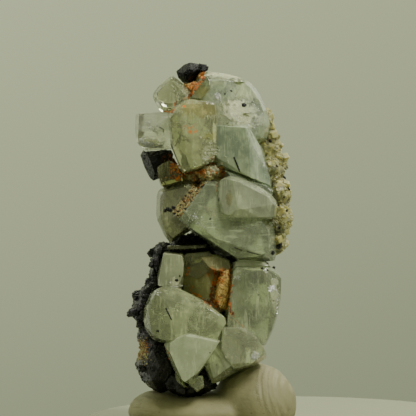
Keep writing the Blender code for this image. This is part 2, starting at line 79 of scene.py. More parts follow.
# The clear crystals of each cluster. An outline runs round the crystal as seen from the front,
# in x and z. "mid" is the depth at which it is widest, "front" lists its front faces as
# x, y, z, yaw, pitch, and "back" is the depth of its back.
CLUSTERS = {
    "aquamarine_upper": {
        "corner": {
            "outline": [
                (-3.6, 34.6), (-5.2, 33.3), (-5.6, 32.5), (-5.2, 31.4), (-4.8, 30.9),
                (-3.6, 30.6), (-1.6, 31.2), (-1.2, 32.6), (-2.3, 33.5), (-3.2, 34.3),
            ],
            "mid": -0.6, "lean": 15, "back": 2.2,
            "front": [(-3.9, -2.4, 32.4, -14, 10)],
        },
        "side": {
            "outline": [
                (-7.3, 30.6), (-3.0, 30.9), (-2.6, 28.5), (-3.2, 27.2), (-6.2, 27.0),
                (-7.1, 27.7), (-7.3, 29.1),
            ],
            "mid": -1.2, "lean": 3, "back": 1.4,
            "front": [(-5.5, -3.2, 28.9, 0, 30), (-5.5, -3.2, 28.9, 0, -28)],
        },
        "barrel": {
            "outline": [
                (-1.8, 32.2), (-2.9, 31.7), (-4.1, 30.5), (-4.2, 29.1), (-3.9, 27.7),
                (-3.2, 26.1), (-2.5, 24.7), (-0.7, 25.1), (0.85, 26.3), (1.0, 28.0),
                (1.1, 30.0), (0.85, 31.8),
            ],
            "mid": -3.8, "lean": 9, "back": 2.0,
            "front": [
                (-1.5, -6.3, 29.6, 4, 2), (-1.0, -6.1, 27.4, 16, -12),
                (-2.8, -5.9, 27.6, -26, -8), (-1.2, -5.9, 31.3, 2, 38),
            ],
        },
        "dome": {
            "outline": [
                (0.1, 34.8), (-0.7, 34.2), (-1.6, 32.4), (-0.8, 29.5), (1.4, 28.0),
                (4.4, 27.2), (5.9, 28.0), (6.2, 29.4), (5.9, 31.0), (5.4, 32.2), (4.8, 33.2),
                (3.9, 34.0), (2.25, 34.4),
            ],
            "mid": -0.6, "lean": 12, "back": 3.6,
            "front": [
                (3.0, -4.3, 31.2, 14, 12), (0.6, -4.0, 33.2, -18, 30),
                (4.6, -3.8, 29.8, 34, -4), (1.4, -4.4, 31.0, -10, 6),
            ],
        },
        "column": {
            "outline": [
                (0.4, 29.8), (0.5, 26.2), (1.2, 25.3), (6.3, 23.1), (6.45, 23.6), (5.3, 27.4),
                (4.4, 29.4), (3.0, 30.4),
            ],
            "mid": -1.0, "lean": 6, "back": 2.4,
            "front": [(3.2, -4.9, 27.0, -9, -3), (4.75, -4.55, 26.0, 48, 4)],
        },
    },
    "aquamarine_middle": {
        "shoulder": {
            "outline": [
                (-1.7, 24.1), (-3.5, 23.8), (-4.6, 23.3), (-5.2, 22.7), (-5.4, 21.6),
                (-5.2, 20.2), (-5.05, 19.3), (-4.5, 18.5), (-3.8, 17.5), (-1.0, 19.4),
                (0.6, 22.4),
            ],
            "mid": -1.2, "lean": 12, "back": 2.6,
            "front": [(-3.2, -4.0, 21.4, -16, 4), (-3.4, -3.9, 19.6, -8, -24)],
        },
        "tilted": {
            "outline": [
                (-0.3, 24.2), (-3.5, 20.4), (-3.0, 19.8), (0.85, 16.5), (2.5, 15.7),
                (6.6, 15.9), (6.9, 17.5), (6.5, 20.0), (4.6, 22.0), (1.2, 24.0),
            ],
            "mid": -1.2, "lean": 8, "back": 2.2,
            "front": [
                (1.0, -5.8, 20.2, -6, 4), (-1.7, -5.8, 22.5, -48, 34), (0.3, -5.4, 17.7, -32, -38),
            ],
        },
        "wedge": {
            "outline": [
                (1.4, 24.3), (0.7, 23.4), (0.85, 22.1), (1.3, 20.4), (2.95, 19.8), (5.3, 19.9),
                (6.7, 20.2), (6.9, 21.7), (6.2, 22.5), (4.9, 23.5), (2.7, 24.4),
            ],
            "mid": -4.4, "lean": 8, "back": 1.8,
            "front": [
                (2.9, -7.3, 22.6, -38, 2), (2.9, -7.3, 22.6, 12, 3), (4.4, -6.9, 20.7, 6, -30),
            ],
        },
    },
    "aquamarine_lower": {
        "block": {
            "outline": [
                (2.5, 15.4), (5.9, 15.45), (7.3, 14.4), (7.4, 13.5), (7.2, 12.1), (6.9, 10.7),
                (6.4, 9.0), (5.7, 7.4), (4.0, 7.2), (1.7, 9.2),
            ],
            "mid": -2.8, "lean": 4, "back": 2.6,
            "front": [(4.4, -6.4, 12.0, 4, 2), (6.4, -6.0, 13.6, 34, 10), (4.4, -6.2, 15.0, 0, 42)],
        },
        "lintel": {
            "outline": [(-2.6, 16.6), (-2.7, 14.6), (-1.0, 14.0), (0.8, 15.4), (0.2, 16.85)],
            "mid": -1.8, "lean": 3, "back": 1.6,
            "front": [(-1.2, -3.0, 16.1, -10, 8)],
        },
        "recessed": {
            "outline": [
                (-2.6, 15.0), (-1.1, 15.5), (0.9, 16.1), (3.2, 15.0), (3.2, 11.4), (0.1, 10.4),
                (-2.4, 11.8),
            ],
            "mid": -2.0, "lean": 4, "back": 2.8,
            "front": [(0.0, -3.3, 14.1, -30, 0), (0.0, -3.3, 14.1, 20, 12)],
        },
        "bright": {
            "outline": [
                (-4.5, 16.8), (-4.8, 15.8), (-5.05, 14.7), (-5.05, 13.4), (-2.9, 12.8),
                (-2.4, 13.4), (-2.3, 15.5), (-2.5, 16.6),
            ],
            "mid": -2.5, "lean": 4, "back": 1.2,
            "front": [(-3.6, -4.9, 15.0, -6, 3)],
        },
        "broad": {
            "outline": [
                (-5.05, 13.55), (-5.75, 12.6), (-6.3, 11.3), (-6.45, 9.5), (-5.6, 8.1),
                (-4.1, 7.6), (0.4, 7.1), (1.4, 7.8), (2.2, 9.6), (1.9, 10.6), (-1.0, 12.4),
                (-2.5, 13.3),
            ],
            "mid": -4.4, "lean": 9, "back": 1.0,
            "front": [
                (-2.0, -7.3, 9.9, 4, 3), (-4.9, -7.0, 10.6, -24, 8), (-0.6, -6.9, 11.3, 10, 34),
            ],
        },
        "pointer": {
            "outline": [
                (-1.8, 8.9), (-2.7, 8.8), (-4.35, 7.65), (-4.0, 6.6), (-3.45, 5.0), (-2.7, 4.0),
                (-2.0, 3.7), (-1.5, 3.9), (-0.4, 5.4), (0.85, 7.2), (1.4, 8.1),
            ],
            "mid": -5.4, "lean": 5, "back": -1.0,
            "front": [(-1.7, -8.2, 6.6, 2, -4)],
        },
        "chip": {
            "outline": [(-1.9, 4.5), (-2.0, 3.7), (-1.1, 2.9), (-0.4, 3.4), (-0.5, 4.6)],
            "mid": -6.0, "lean": 10, "back": -3.6,
            "front": [(-1.2, -6.9, 3.8, 6, -16)],
        },
        "foot": {
            "outline": [
                (1.7, 9.6), (-1.0, 8.4), (-0.5, 5.4), (0.1, 4.0), (0.4, 3.6), (1.55, 4.0),
                (3.4, 4.9), (3.6, 8.6),
            ],
            "mid": -3.4, "lean": 7, "back": 1.6,
            "front": [(1.2, -6.6, 6.0, -16, -8), (2.0, -6.6, 7.4, 18, 6)],
        },
        "heel": {
            "outline": [
                (1.0, 9.8), (0.8, 7.0), (2.4, 4.8), (4.8, 5.4), (5.9, 6.25), (6.0, 7.2),
                (5.2, 8.6), (3.65, 9.8),
            ],
            "mid": -3.4, "lean": 8, "back": 2.4,
            "front": [(3.6, -6.8, 7.2, 8, -6), (5.0, -6.5, 6.4, 34, -22)],
        },
    },
}

GREEN = (0.70, 0.76, 0.46)
BLUE = (0.68, 0.78, 0.58)
OLIVE = (0.50, 0.48, 0.22)
PALE = (0.86, 0.89, 0.66)
MILK = (0.46, 0.49, 0.28)

# Small crystals and plates that fill the joints between the large ones
SMALL_CRYSTALS = {
    "ledge": {
        "outline": [(2.5, 16.0), (2.8, 16.2), (5.6, 15.9), (6.2, 15.4), (2.5, 15.1)],
        "mid": -3.6, "lean": 5, "back": 1.5, "front": [(4.2, -5.3, 15.7, 4, 14)],
    },
    "plate": {
        "outline": [(-4.1, 17.35), (-0.2, 17.5), (-0.3, 17.2), (-4.0, 17.05)],
        "mid": -3.0, "lean": 3, "back": 0.5, "front": [(-2.2, -4.1, 17.2, -4, 8)],
    },
    "under_knob": {
        "outline": [(-5.2, 25.3), (-5.0, 24.3), (-4.6, 23.3), (-2.5, 23.6), (-2.6, 24.9), (-3.4, 25.8), (-4.2, 26.0)],
        "mid": -2.4, "lean": 6, "back": 0.2, "front": [(-4.2, -3.7, 24.6, 12, -6)],
    },
    "nook": {
        "outline": [(-1.0, 34.2), (-1.5, 33.1), (-1.9, 32.0), (-0.6, 31.9), (0.4, 33.2), (0.2, 34.4)],
        "mid": -3.0, "lean": 8, "back": 0.4, "front": [(-0.6, -4.4, 33.0, -6, 16)],
    },
    "web": {
        "outline": [(1.6, 25.3), (1.5, 24.0), (6.4, 21.9), (6.6, 23.0), (5.0, 24.2), (3.0, 25.1)],
        "mid": -2.4, "lean": 5, "back": 1.5, "front": [(4.0, -4.7, 23.6, 4, 6)],
    },
    "brow": {
        "outline": [(-0.9, 16.3), (0.7, 16.6), (2.4, 15.8), (2.3, 14.7), (0.2, 14.9)],
        "mid": -3.2, "lean": 5, "back": 1.0, "front": [(1.0, -4.9, 15.6, 16, 10)],
    },
    "crest": {
        "outline": [(-0.8, 34.1), (0.0, 34.95), (1.4, 34.75), (3.3, 34.35), (3.9, 33.7), (0.6, 33.0)],
        "mid": -1.2, "lean": 8, "back": 1.4, "front": [(1.4, -2.9, 34.0, -8, 24)],
    },
    "sliver": {
        "outline": [(1.9, 10.9), (1.7, 9.3), (3.9, 8.9), (3.0, 9.9)],
        "mid": -4.8, "lean": 6, "back": -2.0, "front": [(2.5, -6.6, 9.8, 4, 10)],
    },
    "splinter": {
        "outline": [(-2.9, 4.6), (-3.3, 5.2), (-3.2, 4.0), (-2.4, 3.3), (-1.8, 3.4), (-2.2, 4.2)],
        "mid": -5.4, "lean": 8, "back": -3.0, "front": [(-2.6, -6.9, 4.1, -10, -12)],
    },
}

# How each crystal looks: its tint, how clear it is, where it is frosted, olive or rust-stained,
# where a highlight or shade is painted on it, and how many healed cracks it has. A patch is its middle, its half-sizes
# and its strength.
LOOKS = {
    "corner": {
        "tint": (0.92, 0.94, 0.68), "clear": 0.94, "cracks": 5, "depth": 25.0,
        "rust": [((-2.2, -2.4, 31.6), (0.35, 3.0, 0.9), 0.7), ((-3.6, -2.2, 30.7), (0.9, 3.0, 0.25), 0.7)],
    },
    "side": {
        "tint": (0.97, 0.98, 0.86), "clear": 0.92, "striae": "x", "cracks": 6, "depth": 12.0, "milk": (0.86, 0.88, 0.64),
        # The pale patch on the bottom of the side crystal is a painted highlight
        "frost_and_highlight": [((-5.9, -3.0, 27.6), (1.5, 1.8, 0.6), 1.0)],
    },
    "barrel": {
        "tint": (0.68, 0.70, 0.44), "clear": 0.76, "cracks": 12, "depth": 60.0, "milk": (0.58, 0.58, 0.30),
        "rust": [((-1.7, -6.2, 29.1), (0.75, 1.2, 0.45), 0.95), ((-2.4, -6.2, 31.3), (0.16, 1.2, 0.16), 1.0)],
        "olive": [((-0.9, -5.6, 31.0), (2.2, 2.0, 1.1), 0.8), ((0.4, -6.0, 28.4), (1.2, 1.4, 0.5), 0.7)],
        "frost_and_highlight": [((0.0, -5.8, 26.6), (0.9, 1.6, 1.1), 0.6)],
    },
    "dome": {
        "tint": BLUE, "clear": 0.72, "cracks": 12, "milk": (0.88, 0.90, 0.48), "depth": 25.0,
        "frost_and_highlight": [((3.2, -3.9, 30.6), (2.2, 2.2, 1.9), 0.9), ((1.1, -4.0, 32.2), (0.3, 1.6, 0.5), 0.7)],
    },
    "column": {
        "tint": (0.68, 0.81, 0.60), "clear": 0.68, "striae": "z", "cracks": 6, "swell": 0.16, "depth": 40.0,
        "milk": (0.74, 0.84, 0.54),
        # A darker patch on the column's right side face: painted shade
        "painted_shade": [((5.6, -4.0, 25.2), (0.8, 1.8, 1.9), 0.6)],
    },
    "shoulder": {
        "tint": (0.37, 0.37, 0.24), "clear": 0.70, "cracks": 2, "depth": 160.0, "milk": (0.20, 0.20, 0.12),
        "depth_colour": (0.66, 0.68, 0.46),
    },
    "tilted": {
        "tint": (0.70, 0.79, 0.54), "clear": 0.78, "striae": "tilted", "cracks": 10, "swell": 0.16, "depth": 48.0,
        "milk": (0.66, 0.74, 0.48), "rust": [((0.4, -5.6, 21.0), (0.9, 1.2, 0.8), 0.12)],
    },
    "wedge": {
        "tint": (0.84, 0.90, 0.64), "clear": 0.70, "cracks": 6, "swell": 0.12, "depth": 32.0,
        "milk": (0.75, 0.81, 0.47),
        "olive": [((2.1, -7.0, 22.0), (0.4, 1.6, 1.0), 0.9)],
    },
    "block": {
        "tint": (0.70, 0.77, 0.51), "clear": 0.84, "cracks": 10, "striae": "z", "swell": 0.14, "depth": 72.0,
        "milk": (0.45, 0.50, 0.32), "frost_and_highlight": [((6.6, -5.8, 12.8), (0.6, 1.4, 1.9), 0.6)],
    },
    "lintel": {"tint": OLIVE, "clear": 0.78, "cracks": 1, "depth": 260.0},
    "recessed": {
        "tint": OLIVE, "clear": 0.50, "cracks": 2, "depth": 80.0, "milk": (0.56, 0.50, 0.26),
        "rust": [((-0.1, -3.1, 14.8), (0.9, 1.5, 0.5), 0.55), ((-1.9, -2.8, 15.1), (0.3, 1.4, 0.4), 0.8)],
    },
    "bright": {
        "tint": (0.68, 0.73, 0.46), "clear": 0.64, "cracks": 3, "milk": (0.58, 0.62, 0.38),
        "frost_and_highlight": [((-3.3, -4.7, 13.7), (0.7, 1.2, 0.7), 0.5)],
    },
    "broad": {
        "tint": (0.72, 0.79, 0.46), "clear": 0.78, "cracks": 14, "milk": (0.64, 0.71, 0.36), "depth": 48.0,
    },
    "pointer": {"tint": (0.68, 0.75, 0.49), "clear": 0.48, "cracks": 4, "milk": (0.64, 0.71, 0.45)},
    "chip": {"tint": GREEN, "clear": 0.80, "cracks": 1},
    "foot": {"tint": (0.82, 0.88, 0.60), "clear": 0.70, "cracks": 12, "depth": 35.0, "milk": (0.72, 0.78, 0.38)},
    "heel": {
        "tint": PALE, "clear": 0.82, "cracks": 8, "depth": 52.0, "milk": (0.56, 0.62, 0.30),
        "frost_and_highlight": [((4.6, -6.4, 6.6), (0.6, 1.2, 0.5), 0.6)],
    },
    "ledge": {"tint": PALE, "clear": 0.62, "cracks": 1, "milk": (0.60, 0.64, 0.46)},
    "plate": {"tint": (0.30, 0.31, 0.14), "clear": 0.86, "cracks": 0, "milk": (0.20, 0.21, 0.10)},
    "under_knob": {"tint": OLIVE, "clear": 0.85, "cracks": 1, "depth": 200.0},
    "nook": {
        "tint": GREEN, "clear": 0.86, "cracks": 2,
        "olive": [((-0.6, -4.2, 32.8), (1.0, 1.5, 0.9), 0.8)],
    },
    "web": {"tint": BLUE, "clear": 0.82, "cracks": 2, "depth": 60.0},
    "brow": {
        "tint": (0.36, 0.34, 0.16), "clear": 0.56, "cracks": 1, "milk": (0.22, 0.20, 0.09), "depth": 120.0,
        "rust": [((0.9, -4.8, 15.0), (0.9, 1.2, 0.4), 0.8)],
    },
    "crest": {
        "tint": (0.74, 0.82, 0.52), "clear": 0.74, "cracks": 2, "milk": (0.66, 0.72, 0.40), "depth": 45.0,
        "frost_and_highlight": [((1.6, -1.4, 34.5), (2.8, 3.2, 1.0), 0.8)],
    },
    "sliver": {
        "tint": OLIVE, "clear": 0.82, "cracks": 1,
        "rust": [((2.5, -6.5, 10.2), (0.8, 1.0, 0.3), 0.5)],
    },
    "splinter": {"tint": GREEN, "clear": 0.80, "cracks": 1},
}

# Black needles inside or on the clear crystals: from x, z to x, z, how thick, how deep
NEEDLES = [
    ((2.6, 26.3), (3.2, 24.8), 0.20, 0.02),
    ((2.6, 17.3), (3.4, 17.0), 0.13, 0.01),
    ((3.9, 16.9), (5.0, 16.6), 0.12, 0.01),
    ((-4.2, 11.3), (-3.6, 10.1), 0.14, 0.01),
    ((1.3, 22.8), (1.1, 21.9), 0.22, 0.12),
    ((-4.9, 29.2), (-4.4, 28.9), 0.16, 0.60),
    ((-2.0, 6.0), (-1.7, 5.6), 0.05, 0.30),
]

# Places along a needle at which it touches its crystal, and the largest step between two of them
NEEDLE_SHARES = (0.0, 0.2, 0.4, 0.6, 0.8, 1.0)
NEEDLE_STEP = 0.4

# Black specks sitting on the surface: x, z and size
SPECKS = [
    (3.6, 31.5, 0.34), (4.4, 31.8, 0.10), (-5.0, 9.0, 0.26), (-3.1, 14.0, 0.30), (-2.8, 14.4, 0.16),
    (6.3, 27.9, 0.26), (7.7, 24.2, 0.30), (8.1, 23.1, 0.26), (7.1, 19.2, 0.24), (7.05, 17.4, 0.75),
    (6.4, 16.7, 0.36), (7.0, 21.4, 0.18), (6.6, 26.0, 0.16), (-5.3, 31.0, 0.34), (-4.9, 31.0, 0.24),
    (2.3, 32.9, 0.16), (1.7, 32.6, 0.14), (4.6, 32.1, 0.10), (0.2, 20.1, 0.14), (-4.0, 21.1, 0.34),
    (-3.7, 21.0, 0.36), (-3.4, 21.3, 0.30), (-4.3, 20.9, 0.24), (7.9, 20.9, 0.20), (6.0, 28.2, 0.14), (6.9, 25.4, 0.16), (7.6, 22.2, 0.14), (5.4, 15.2, 0.18), (5.9, 15.0, 0.16),
    (6.5, 12.0, 0.14), (0.2, 6.9, 0.12), (5.0, 12.6, 0.10),
]

# Threads of iron stain along the seams, as runs of x, z with a grain size and a count
THREADS = [
    ([(-0.9, 34.8), (-0.4, 34.2), (-1.2, 33.2), (-2.0, 32.3)], 0.18, 130),
    ([(-3.2, 32.0), (-3.4, 31.0), (-3.8, 30.8)], 0.12, 40),
    ([(-4.4, 30.9), (-3.4, 30.7)], 0.14, 30),
    ([(-2.9, 24.5), (-1.6, 24.7), (-0.4, 25.0), (0.6, 26.3)], 0.16, 120),
    ([(0.2, 26.3), (0.5, 25.4), (1.4, 25.0), (1.8, 24.4)], 0.12, 60),
    ([(0.8, 24.8), (1.1, 24.3), (1.4, 24.8), (1.1, 24.9)], 0.10, 30),
    ([(-3.9, 26.6), (-3.2, 25.4), (-2.8, 24.5)], 0.14, 70),
    ([(1.5, 15.0), (0.7, 13.4), (0.4, 12.2), (1.2, 11.0)], 0.22, 170),
    ([(2.2, 15.3), (2.2, 13.0), (2.1, 11.4), (2.4, 10.6)], 0.20, 150),
    ([(-2.0, 12.9), (-0.9, 12.4), (0.4, 11.5), (1.6, 10.8)], 0.14, 90),
    ([(-2.0, 15.2), (-1.9, 14.8), (-2.1, 14.4)], 0.12, 24),
    ([(-1.8, 13.1), (-1.5, 13.3)], 0.14, 16),
    ([(2.2, 10.7), (3.0, 9.8), (3.6, 9.3)], 0.09, 36),
    ([(-3.9, 5.8), (-3.8, 6.6), (-4.4, 7.6)], 0.09, 24),
    ([(1.3, 24.2), (0.8, 23.4), (1.0, 22.3)], 0.06, 26),
    ([(0.8, 14.7), (0.45, 13.3), (0.25, 12.3), (0.9, 11.3)], 0.20, 110),
]

# Painted highlights along the crystal edges: near-white grains in runs of x, z with a grain size and a count
PAINTED_EDGE_HIGHLIGHTS = [
    ([(4.5, 27.5), (5.2, 26.0), (6.2, 24.8)], 0.07, 70), ([(2.7, 24.3), (2.95, 22.8), (3.1, 21.6)], 0.04, 36),
    ([(-2.9, 20.1), (-1.0, 18.3), (0.8, 16.6), (2.3, 15.8)], 0.06, 90), ([(-3.5, 20.3), (-0.5, 24.0)], 0.07, 60),
    ([(-2.7, 20.9), (0.1, 24.0)], 0.06, 50), ([(2.7, 16.0), (5.8, 15.8)], 0.06, 60),
    ([(-5.5, 13.2), (-6.2, 11.6), (-6.35, 9.6)], 0.05, 50), ([(-6.3, 9.3), (-5.4, 8.1), (-4.2, 7.7)], 0.06, 50),
    ([(1.0, 32.8), (1.4, 31.6)], 0.10, 30), ([(-1.2, 31.9), (0.8, 31.7)], 0.06, 30),
    ([(-3.9, 31.0), (-2.4, 31.9)], 0.05, 24), ([(0.6, 4.1), (3.3, 5.0)], 0.05, 40), ([(1.2, 8.6), (3.0, 6.2)], 0.04, 30),
    ([(-7.2, 30.4), (-3.4, 30.6)], 0.04, 30), ([(-7.1, 27.8), (-4.8, 27.2)], 0.10, 50),
]

# Clumps of small grains: x, z of the middle, half-sizes in x and z, kind, grain size, count. Grains of the bright kind
# are near-white flakes: painted highlights.
CLUMPS = [
    (-6.6, 6.9, 0.60, 1.0, "cream", 0.16, 260), (-6.3, 7.3, 0.5, 0.8, "rust", 0.13, 60),
    (0.7, 14.9, 0.4, 0.5, "rust", 0.20, 16),
    (-0.6, 23.55, 0.10, 0.36, "black", 0.24, 34), (-1.05, 22.8, 0.10, 0.36, "black", 0.22, 34),
    (1.0, 11.6, 0.30, 0.35, "black", 0.20, 40), (-1.9, 18.5, 0.7, 0.7, "black", 0.5, 70),
    (-0.8, 17.9, 1.2, 0.4, "black", 0.4, 60), (-3.2, 24.2, 0.9, 0.2, "rust", 0.16, 30),
    (-0.2, 4.6, 0.5, 0.9, "black", 0.26, 50), (0.9, 25.6, 0.9, 0.7, "clear", 0.30, 26),
    (0.5, 25.0, 0.8, 0.5, "clear", 0.34, 12), (1.0, 25.1, 0.7, 0.55, "rust", 0.15, 60), (-3.4, 25.3, 0.45, 0.9, "rust", 0.17, 60), (0.0, 11.8, 0.35, 0.25, "rust", 0.18, 30), (0.4, 26.6, 0.7, 0.8, "clear", 0.20, 60),
    (-0.1, 26.2, 0.5, 0.5, "bright", 0.12, 26), (-5.9, 27.6, 0.8, 0.25, "bright", 0.22, 60), (-6.6, 27.9, 0.3, 0.3, "bright", 0.24, 16),
    (-1.3, 20.2, 1.0, 0.6, "bright", 0.12, 34), (-0.4, 19.4, 1.0, 0.5, "bright", 0.10, 20),
    (6.3, 13.3, 0.30, 0.24, "bright", 0.26, 34), (4.65, 6.5, 0.42, 0.36, "bright", 0.22, 64), (6.9, 12.0, 0.2, 1.2, "bright", 0.14, 22),
    (1.0, 32.2, 0.20, 0.5, "bright", 0.16, 50), (3.0, 30.0, 1.2, 0.8, "bright", 0.12, 20),
    (-2.5, 13.4, 0.9, 0.15, "bright", 0.10, 24), (3.0, 14.3, 0.4, 0.4, "bright", 0.08, 26),
    (-0.2, 12.0, 0.6, 0.3, "bright", 0.07, 26), (0.1, 28.4, 0.7, 0.9, "bright", 0.10, 14),
    (-4.9, 12.9, 0.35, 0.5, "bright", 0.07, 20), (5.6, 25.2, 0.2, 1.0, "bright", 0.08, 24),
]

# The yaw and pitch, in degrees, at which a painted glint flake throws the main light to the front
GLINT_WAY = (18.5, 26.0)

# Where the black mass is narrower: x, z, how far round that in x and z, and by how much
SCHORL_WAIST = (-7.1, 14.2, 2.6, 1.7, 1.0)

# The encrusted end of the tilted crystal, from its top to its foot in x, z, and how wide it is
CRUSTED_END = ((-0.5, 24.0), (-3.2, 20.5), 0.42)


class SpecimenSettings(bpy.types.PropertyGroup):
    """Sizes and colours of the specimen."""

    chamfer: FloatProperty(
        name="Worn edge", description="Width of the worn edges of the clear crystals",
        default=0.04 * MM, unit="LENGTH",
    )
    swell: FloatProperty(
        name="Crystal growth", description="How far a crystal's faces grow towards its neighbours",
        default=0.07 * MM, unit="LENGTH",
    )
    fluorite_grain: FloatProperty(
        name="Fluorite grain", description="Size of a grain of the pale crust",
        default=0.32 * MM, unit="LENGTH",
    )
    fluorite_count: IntProperty(
        name="Fluorite grains", description="Number of grains on the pale crust", default=2900,
    )
    schorl_grain: FloatProperty(
        name="Schorl grain", description="Size of a small black crystal",
        default=0.34 * MM, unit="LENGTH",
    )
    schorl_count: IntProperty(
        name="Schorl grains", description="Number of small black crystals", default=3650,
    )
    schorl_colour: FloatVectorProperty(
        name="Schorl", description="Colour of the black crystals", subtype="COLOR",
        default=(0.0040, 0.0038, 0.0048),
    )
    fluorite_colour: FloatVectorProperty(
        name="Fluorite", description="Colour of the pale crust", subtype="COLOR",
        default=(0.60, 0.54, 0.20),
    )
    feldspar_colour: FloatVectorProperty(
        name="Feldspar", description="Colour of the clean feldspar", subtype="COLOR",
        default=(0.86, 0.60, 0.22),
    )
    rust_colour: FloatVectorProperty(
        name="Iron stain", description="Colour of the iron stain", subtype="COLOR",
        default=(0.80, 0.19, 0.010),
    )
    putty_colour: FloatVectorProperty(
        name="Putty", description="Colour of the mounting putty", subtype="COLOR",
        default=(0.325, 0.305, 0.165),
    )
    floor_colour: FloatVectorProperty(
        name="Floor", description="Colour of the pale floor", subtype="COLOR",
        default=(0.32, 0.335, 0.225),
    )
    backdrop_colour: FloatVectorProperty(
        name="Backdrop", description="Colour of the studio's backdrop", subtype="COLOR",
        default=(0.41, 0.455, 0.275),
    )


def settings():
    return bpy.context.scene.specimen_settings


class Finish:
    """A material's node tree with short ways to add and join its nodes."""

    def __init__(self, name):
        self.material = bpy.data.materials.new(name)
        self.material.use_nodes = True
        self.tree = self.material.node_tree
        self.shader = self.tree.nodes["Principled BSDF"]
        self.output = self.tree.nodes["Material Output"]
        self.coords = self.tree.nodes.new("ShaderNodeTexCoord").outputs["Object"]

    def node(self, kind, **values):
        made = self.tree.nodes.new(kind)
        for key, value in values.items():
            setattr(made, key, value)
        return made

    def link(self, source, socket):
        if hasattr(source, "is_output"):
            self.tree.links.new(source, socket)
        else:
            socket.default_value = source

    def noise(self, per_mm, detail=4.0, rough=0.55, stretch=(1.0, 1.0, 1.0), shift=0.0):
        mapping = self.node("ShaderNodeMapping")
        mapping.inputs["Scale"].default_value = Vector(stretch)
        mapping.inputs["Location"].default_value = (shift * MM, -shift * MM, 2.0 * shift * MM)
        self.link(self.coords, mapping.inputs["Vector"])
        made = self.node("ShaderNodeTexNoise")
        self.link(mapping.outputs["Vector"], made.inputs["Vector"])
        made.inputs["Scale"].default_value = per_mm / MM
        made.inputs["Detail"].default_value = detail
        made.inputs["Roughness"].default_value = rough
        return made.outputs["Fac"]

    def cells(self, per_mm, feature="F1", stretch=(1.0, 1.0, 1.0)):
        mapping = self.node("ShaderNodeMapping")
        mapping.inputs["Scale"].default_value = Vector(stretch)
        self.link(self.coords, mapping.inputs["Vector"])
        made = self.node("ShaderNodeTexVoronoi", feature=feature)
        self.link(mapping.outputs["Vector"], made.inputs["Vector"])
        made.inputs["Scale"].default_value = per_mm / MM
        return made.outputs["Distance"]

    def crackle(self, per_mm, shift, thin=0.03):
        """A net of fine bent lines: 1 on a line and 0 between them."""
        bend = self.node("ShaderNodeTexNoise")
        self.link(self.coords, bend.inputs["Vector"])
        bend.inputs["Scale"].default_value = 0.6 / MM
        bend.inputs["Detail"].default_value = 4.0
        moved = self.node("ShaderNodeVectorMath", operation="MULTIPLY_ADD")
        self.link(bend.outputs["Color"], moved.inputs[0])
        moved.inputs[1].default_value = (2.6 * MM, 2.6 * MM, 2.6 * MM)
        self.link(self.coords, moved.inputs[2])
        mapping = self.node("ShaderNodeMapping")
        mapping.inputs["Location"].default_value = (shift * MM, shift * 2.0 * MM, -shift * MM)
        self.link(moved.outputs["Vector"], mapping.inputs["Vector"])
        net = self.node("ShaderNodeTexVoronoi", feature="DISTANCE_TO_EDGE")
        self.link(mapping.outputs["Vector"], net.inputs["Vector"])
        net.inputs["Scale"].default_value = per_mm / MM
        return self.spread(net.outputs["Distance"], 0.0, thin, 1.0, 0.0)

    def spread(self, value, low, high, to_low=0.0, to_high=1.0):
        made = self.node("ShaderNodeMapRange", interpolation_type="SMOOTHSTEP")
        self.link(value, made.inputs["Value"])
        for socket, number in zip(("From Min", "From Max", "To Min", "To Max"), (low, high, to_low, to_high)):
            made.inputs[socket].default_value = number
        return made.outputs["Result"]

    def maths(self, operation, one, two=0.0):
        made = self.node("ShaderNodeMath", operation=operation)
        self.link(one, made.inputs[0])
        self.link(two, made.inputs[1])
        return made.outputs[0]

    def blend(self, share, one, two):
        made = self.node("ShaderNodeMix", data_type="RGBA")
        self.link(share, made.inputs["Factor"])
        self.link(one if hasattr(one, "is_output") else (*one, 1.0), made.inputs["A"])
        self.link(two if hasattr(two, "is_output") else (*two, 1.0), made.inputs["B"])
        return made.outputs["Result"]

    def patch(self, middle, half_sizes, strength, ragged=0.5):
        """A ragged patch round a point: its strength in the middle, 0 outside."""
        mapping = self.node("ShaderNodeMapping")
        mapping.inputs["Location"].default_value = [-m / h for m, h in zip(middle, half_sizes)]
        mapping.inputs["Scale"].default_value = [1.0 / (h * MM) for h in half_sizes]
        self.link(self.coords, mapping.inputs["Vector"])
        length = self.node("ShaderNodeVectorMath", operation="LENGTH")
        self.link(mapping.outputs["Vector"], length.inputs[0])
        rough = self.noise(1.6, 6.0, 0.7)
        away = self.maths("ADD", length.outputs["Value"], self.maths("MULTIPLY", self.maths("SUBTRACT", rough, 0.5), ragged * 4.0))
        return self.spread(away, 0.55, 1.0, strength, 0.0)

    def patches(self, spots, ragged=0.5):
        total = None
        for middle, half_sizes, strength in spots:
            one = self.patch(middle, half_sizes, strength, ragged)
            total = one if total is None else self.maths("MAXIMUM", total, one)
        return total if total is not None else 0.0

    def bump(self, height, depth, strength=1.0, under=None):
        made = self.node("ShaderNodeBump")
        made.inputs["Strength"].default_value = strength
        made.inputs["Distance"].default_value = depth * MM
        self.link(height, made.inputs["Height"])
        if under is not None:
            self.link(under, made.inputs["Normal"])
        return made.outputs["Normal"]

    def stripes(self, along, per_mm, warp=0.6):
        """Fine grooves across one axis, as on the sides of a beryl prism."""
        stretch = {
            "x": (0.06, 1.0, 1.0), "z": (1.0, 1.0, 0.06), "tilted": (1.0, 1.0, 1.0),
        }[along]
        mapping = self.node("ShaderNodeMapping")
        if along == "tilted":
            mapping.inputs["Rotation"].default_value = (0.0, math.radians(-40.0), 0.0)
            stretch = (0.06, 1.0, 1.0)
        mapping.inputs["Scale"].default_value = stretch
        self.link(self.coords, mapping.inputs["Vector"])
        made = self.node("ShaderNodeTexNoise")
        self.link(mapping.outputs["Vector"], made.inputs["Vector"])
        made.inputs["Scale"].default_value = per_mm / MM
        made.inputs["Detail"].default_value = 3.0
        made.inputs["Roughness"].default_value = warp
        return made.outputs["Fac"]


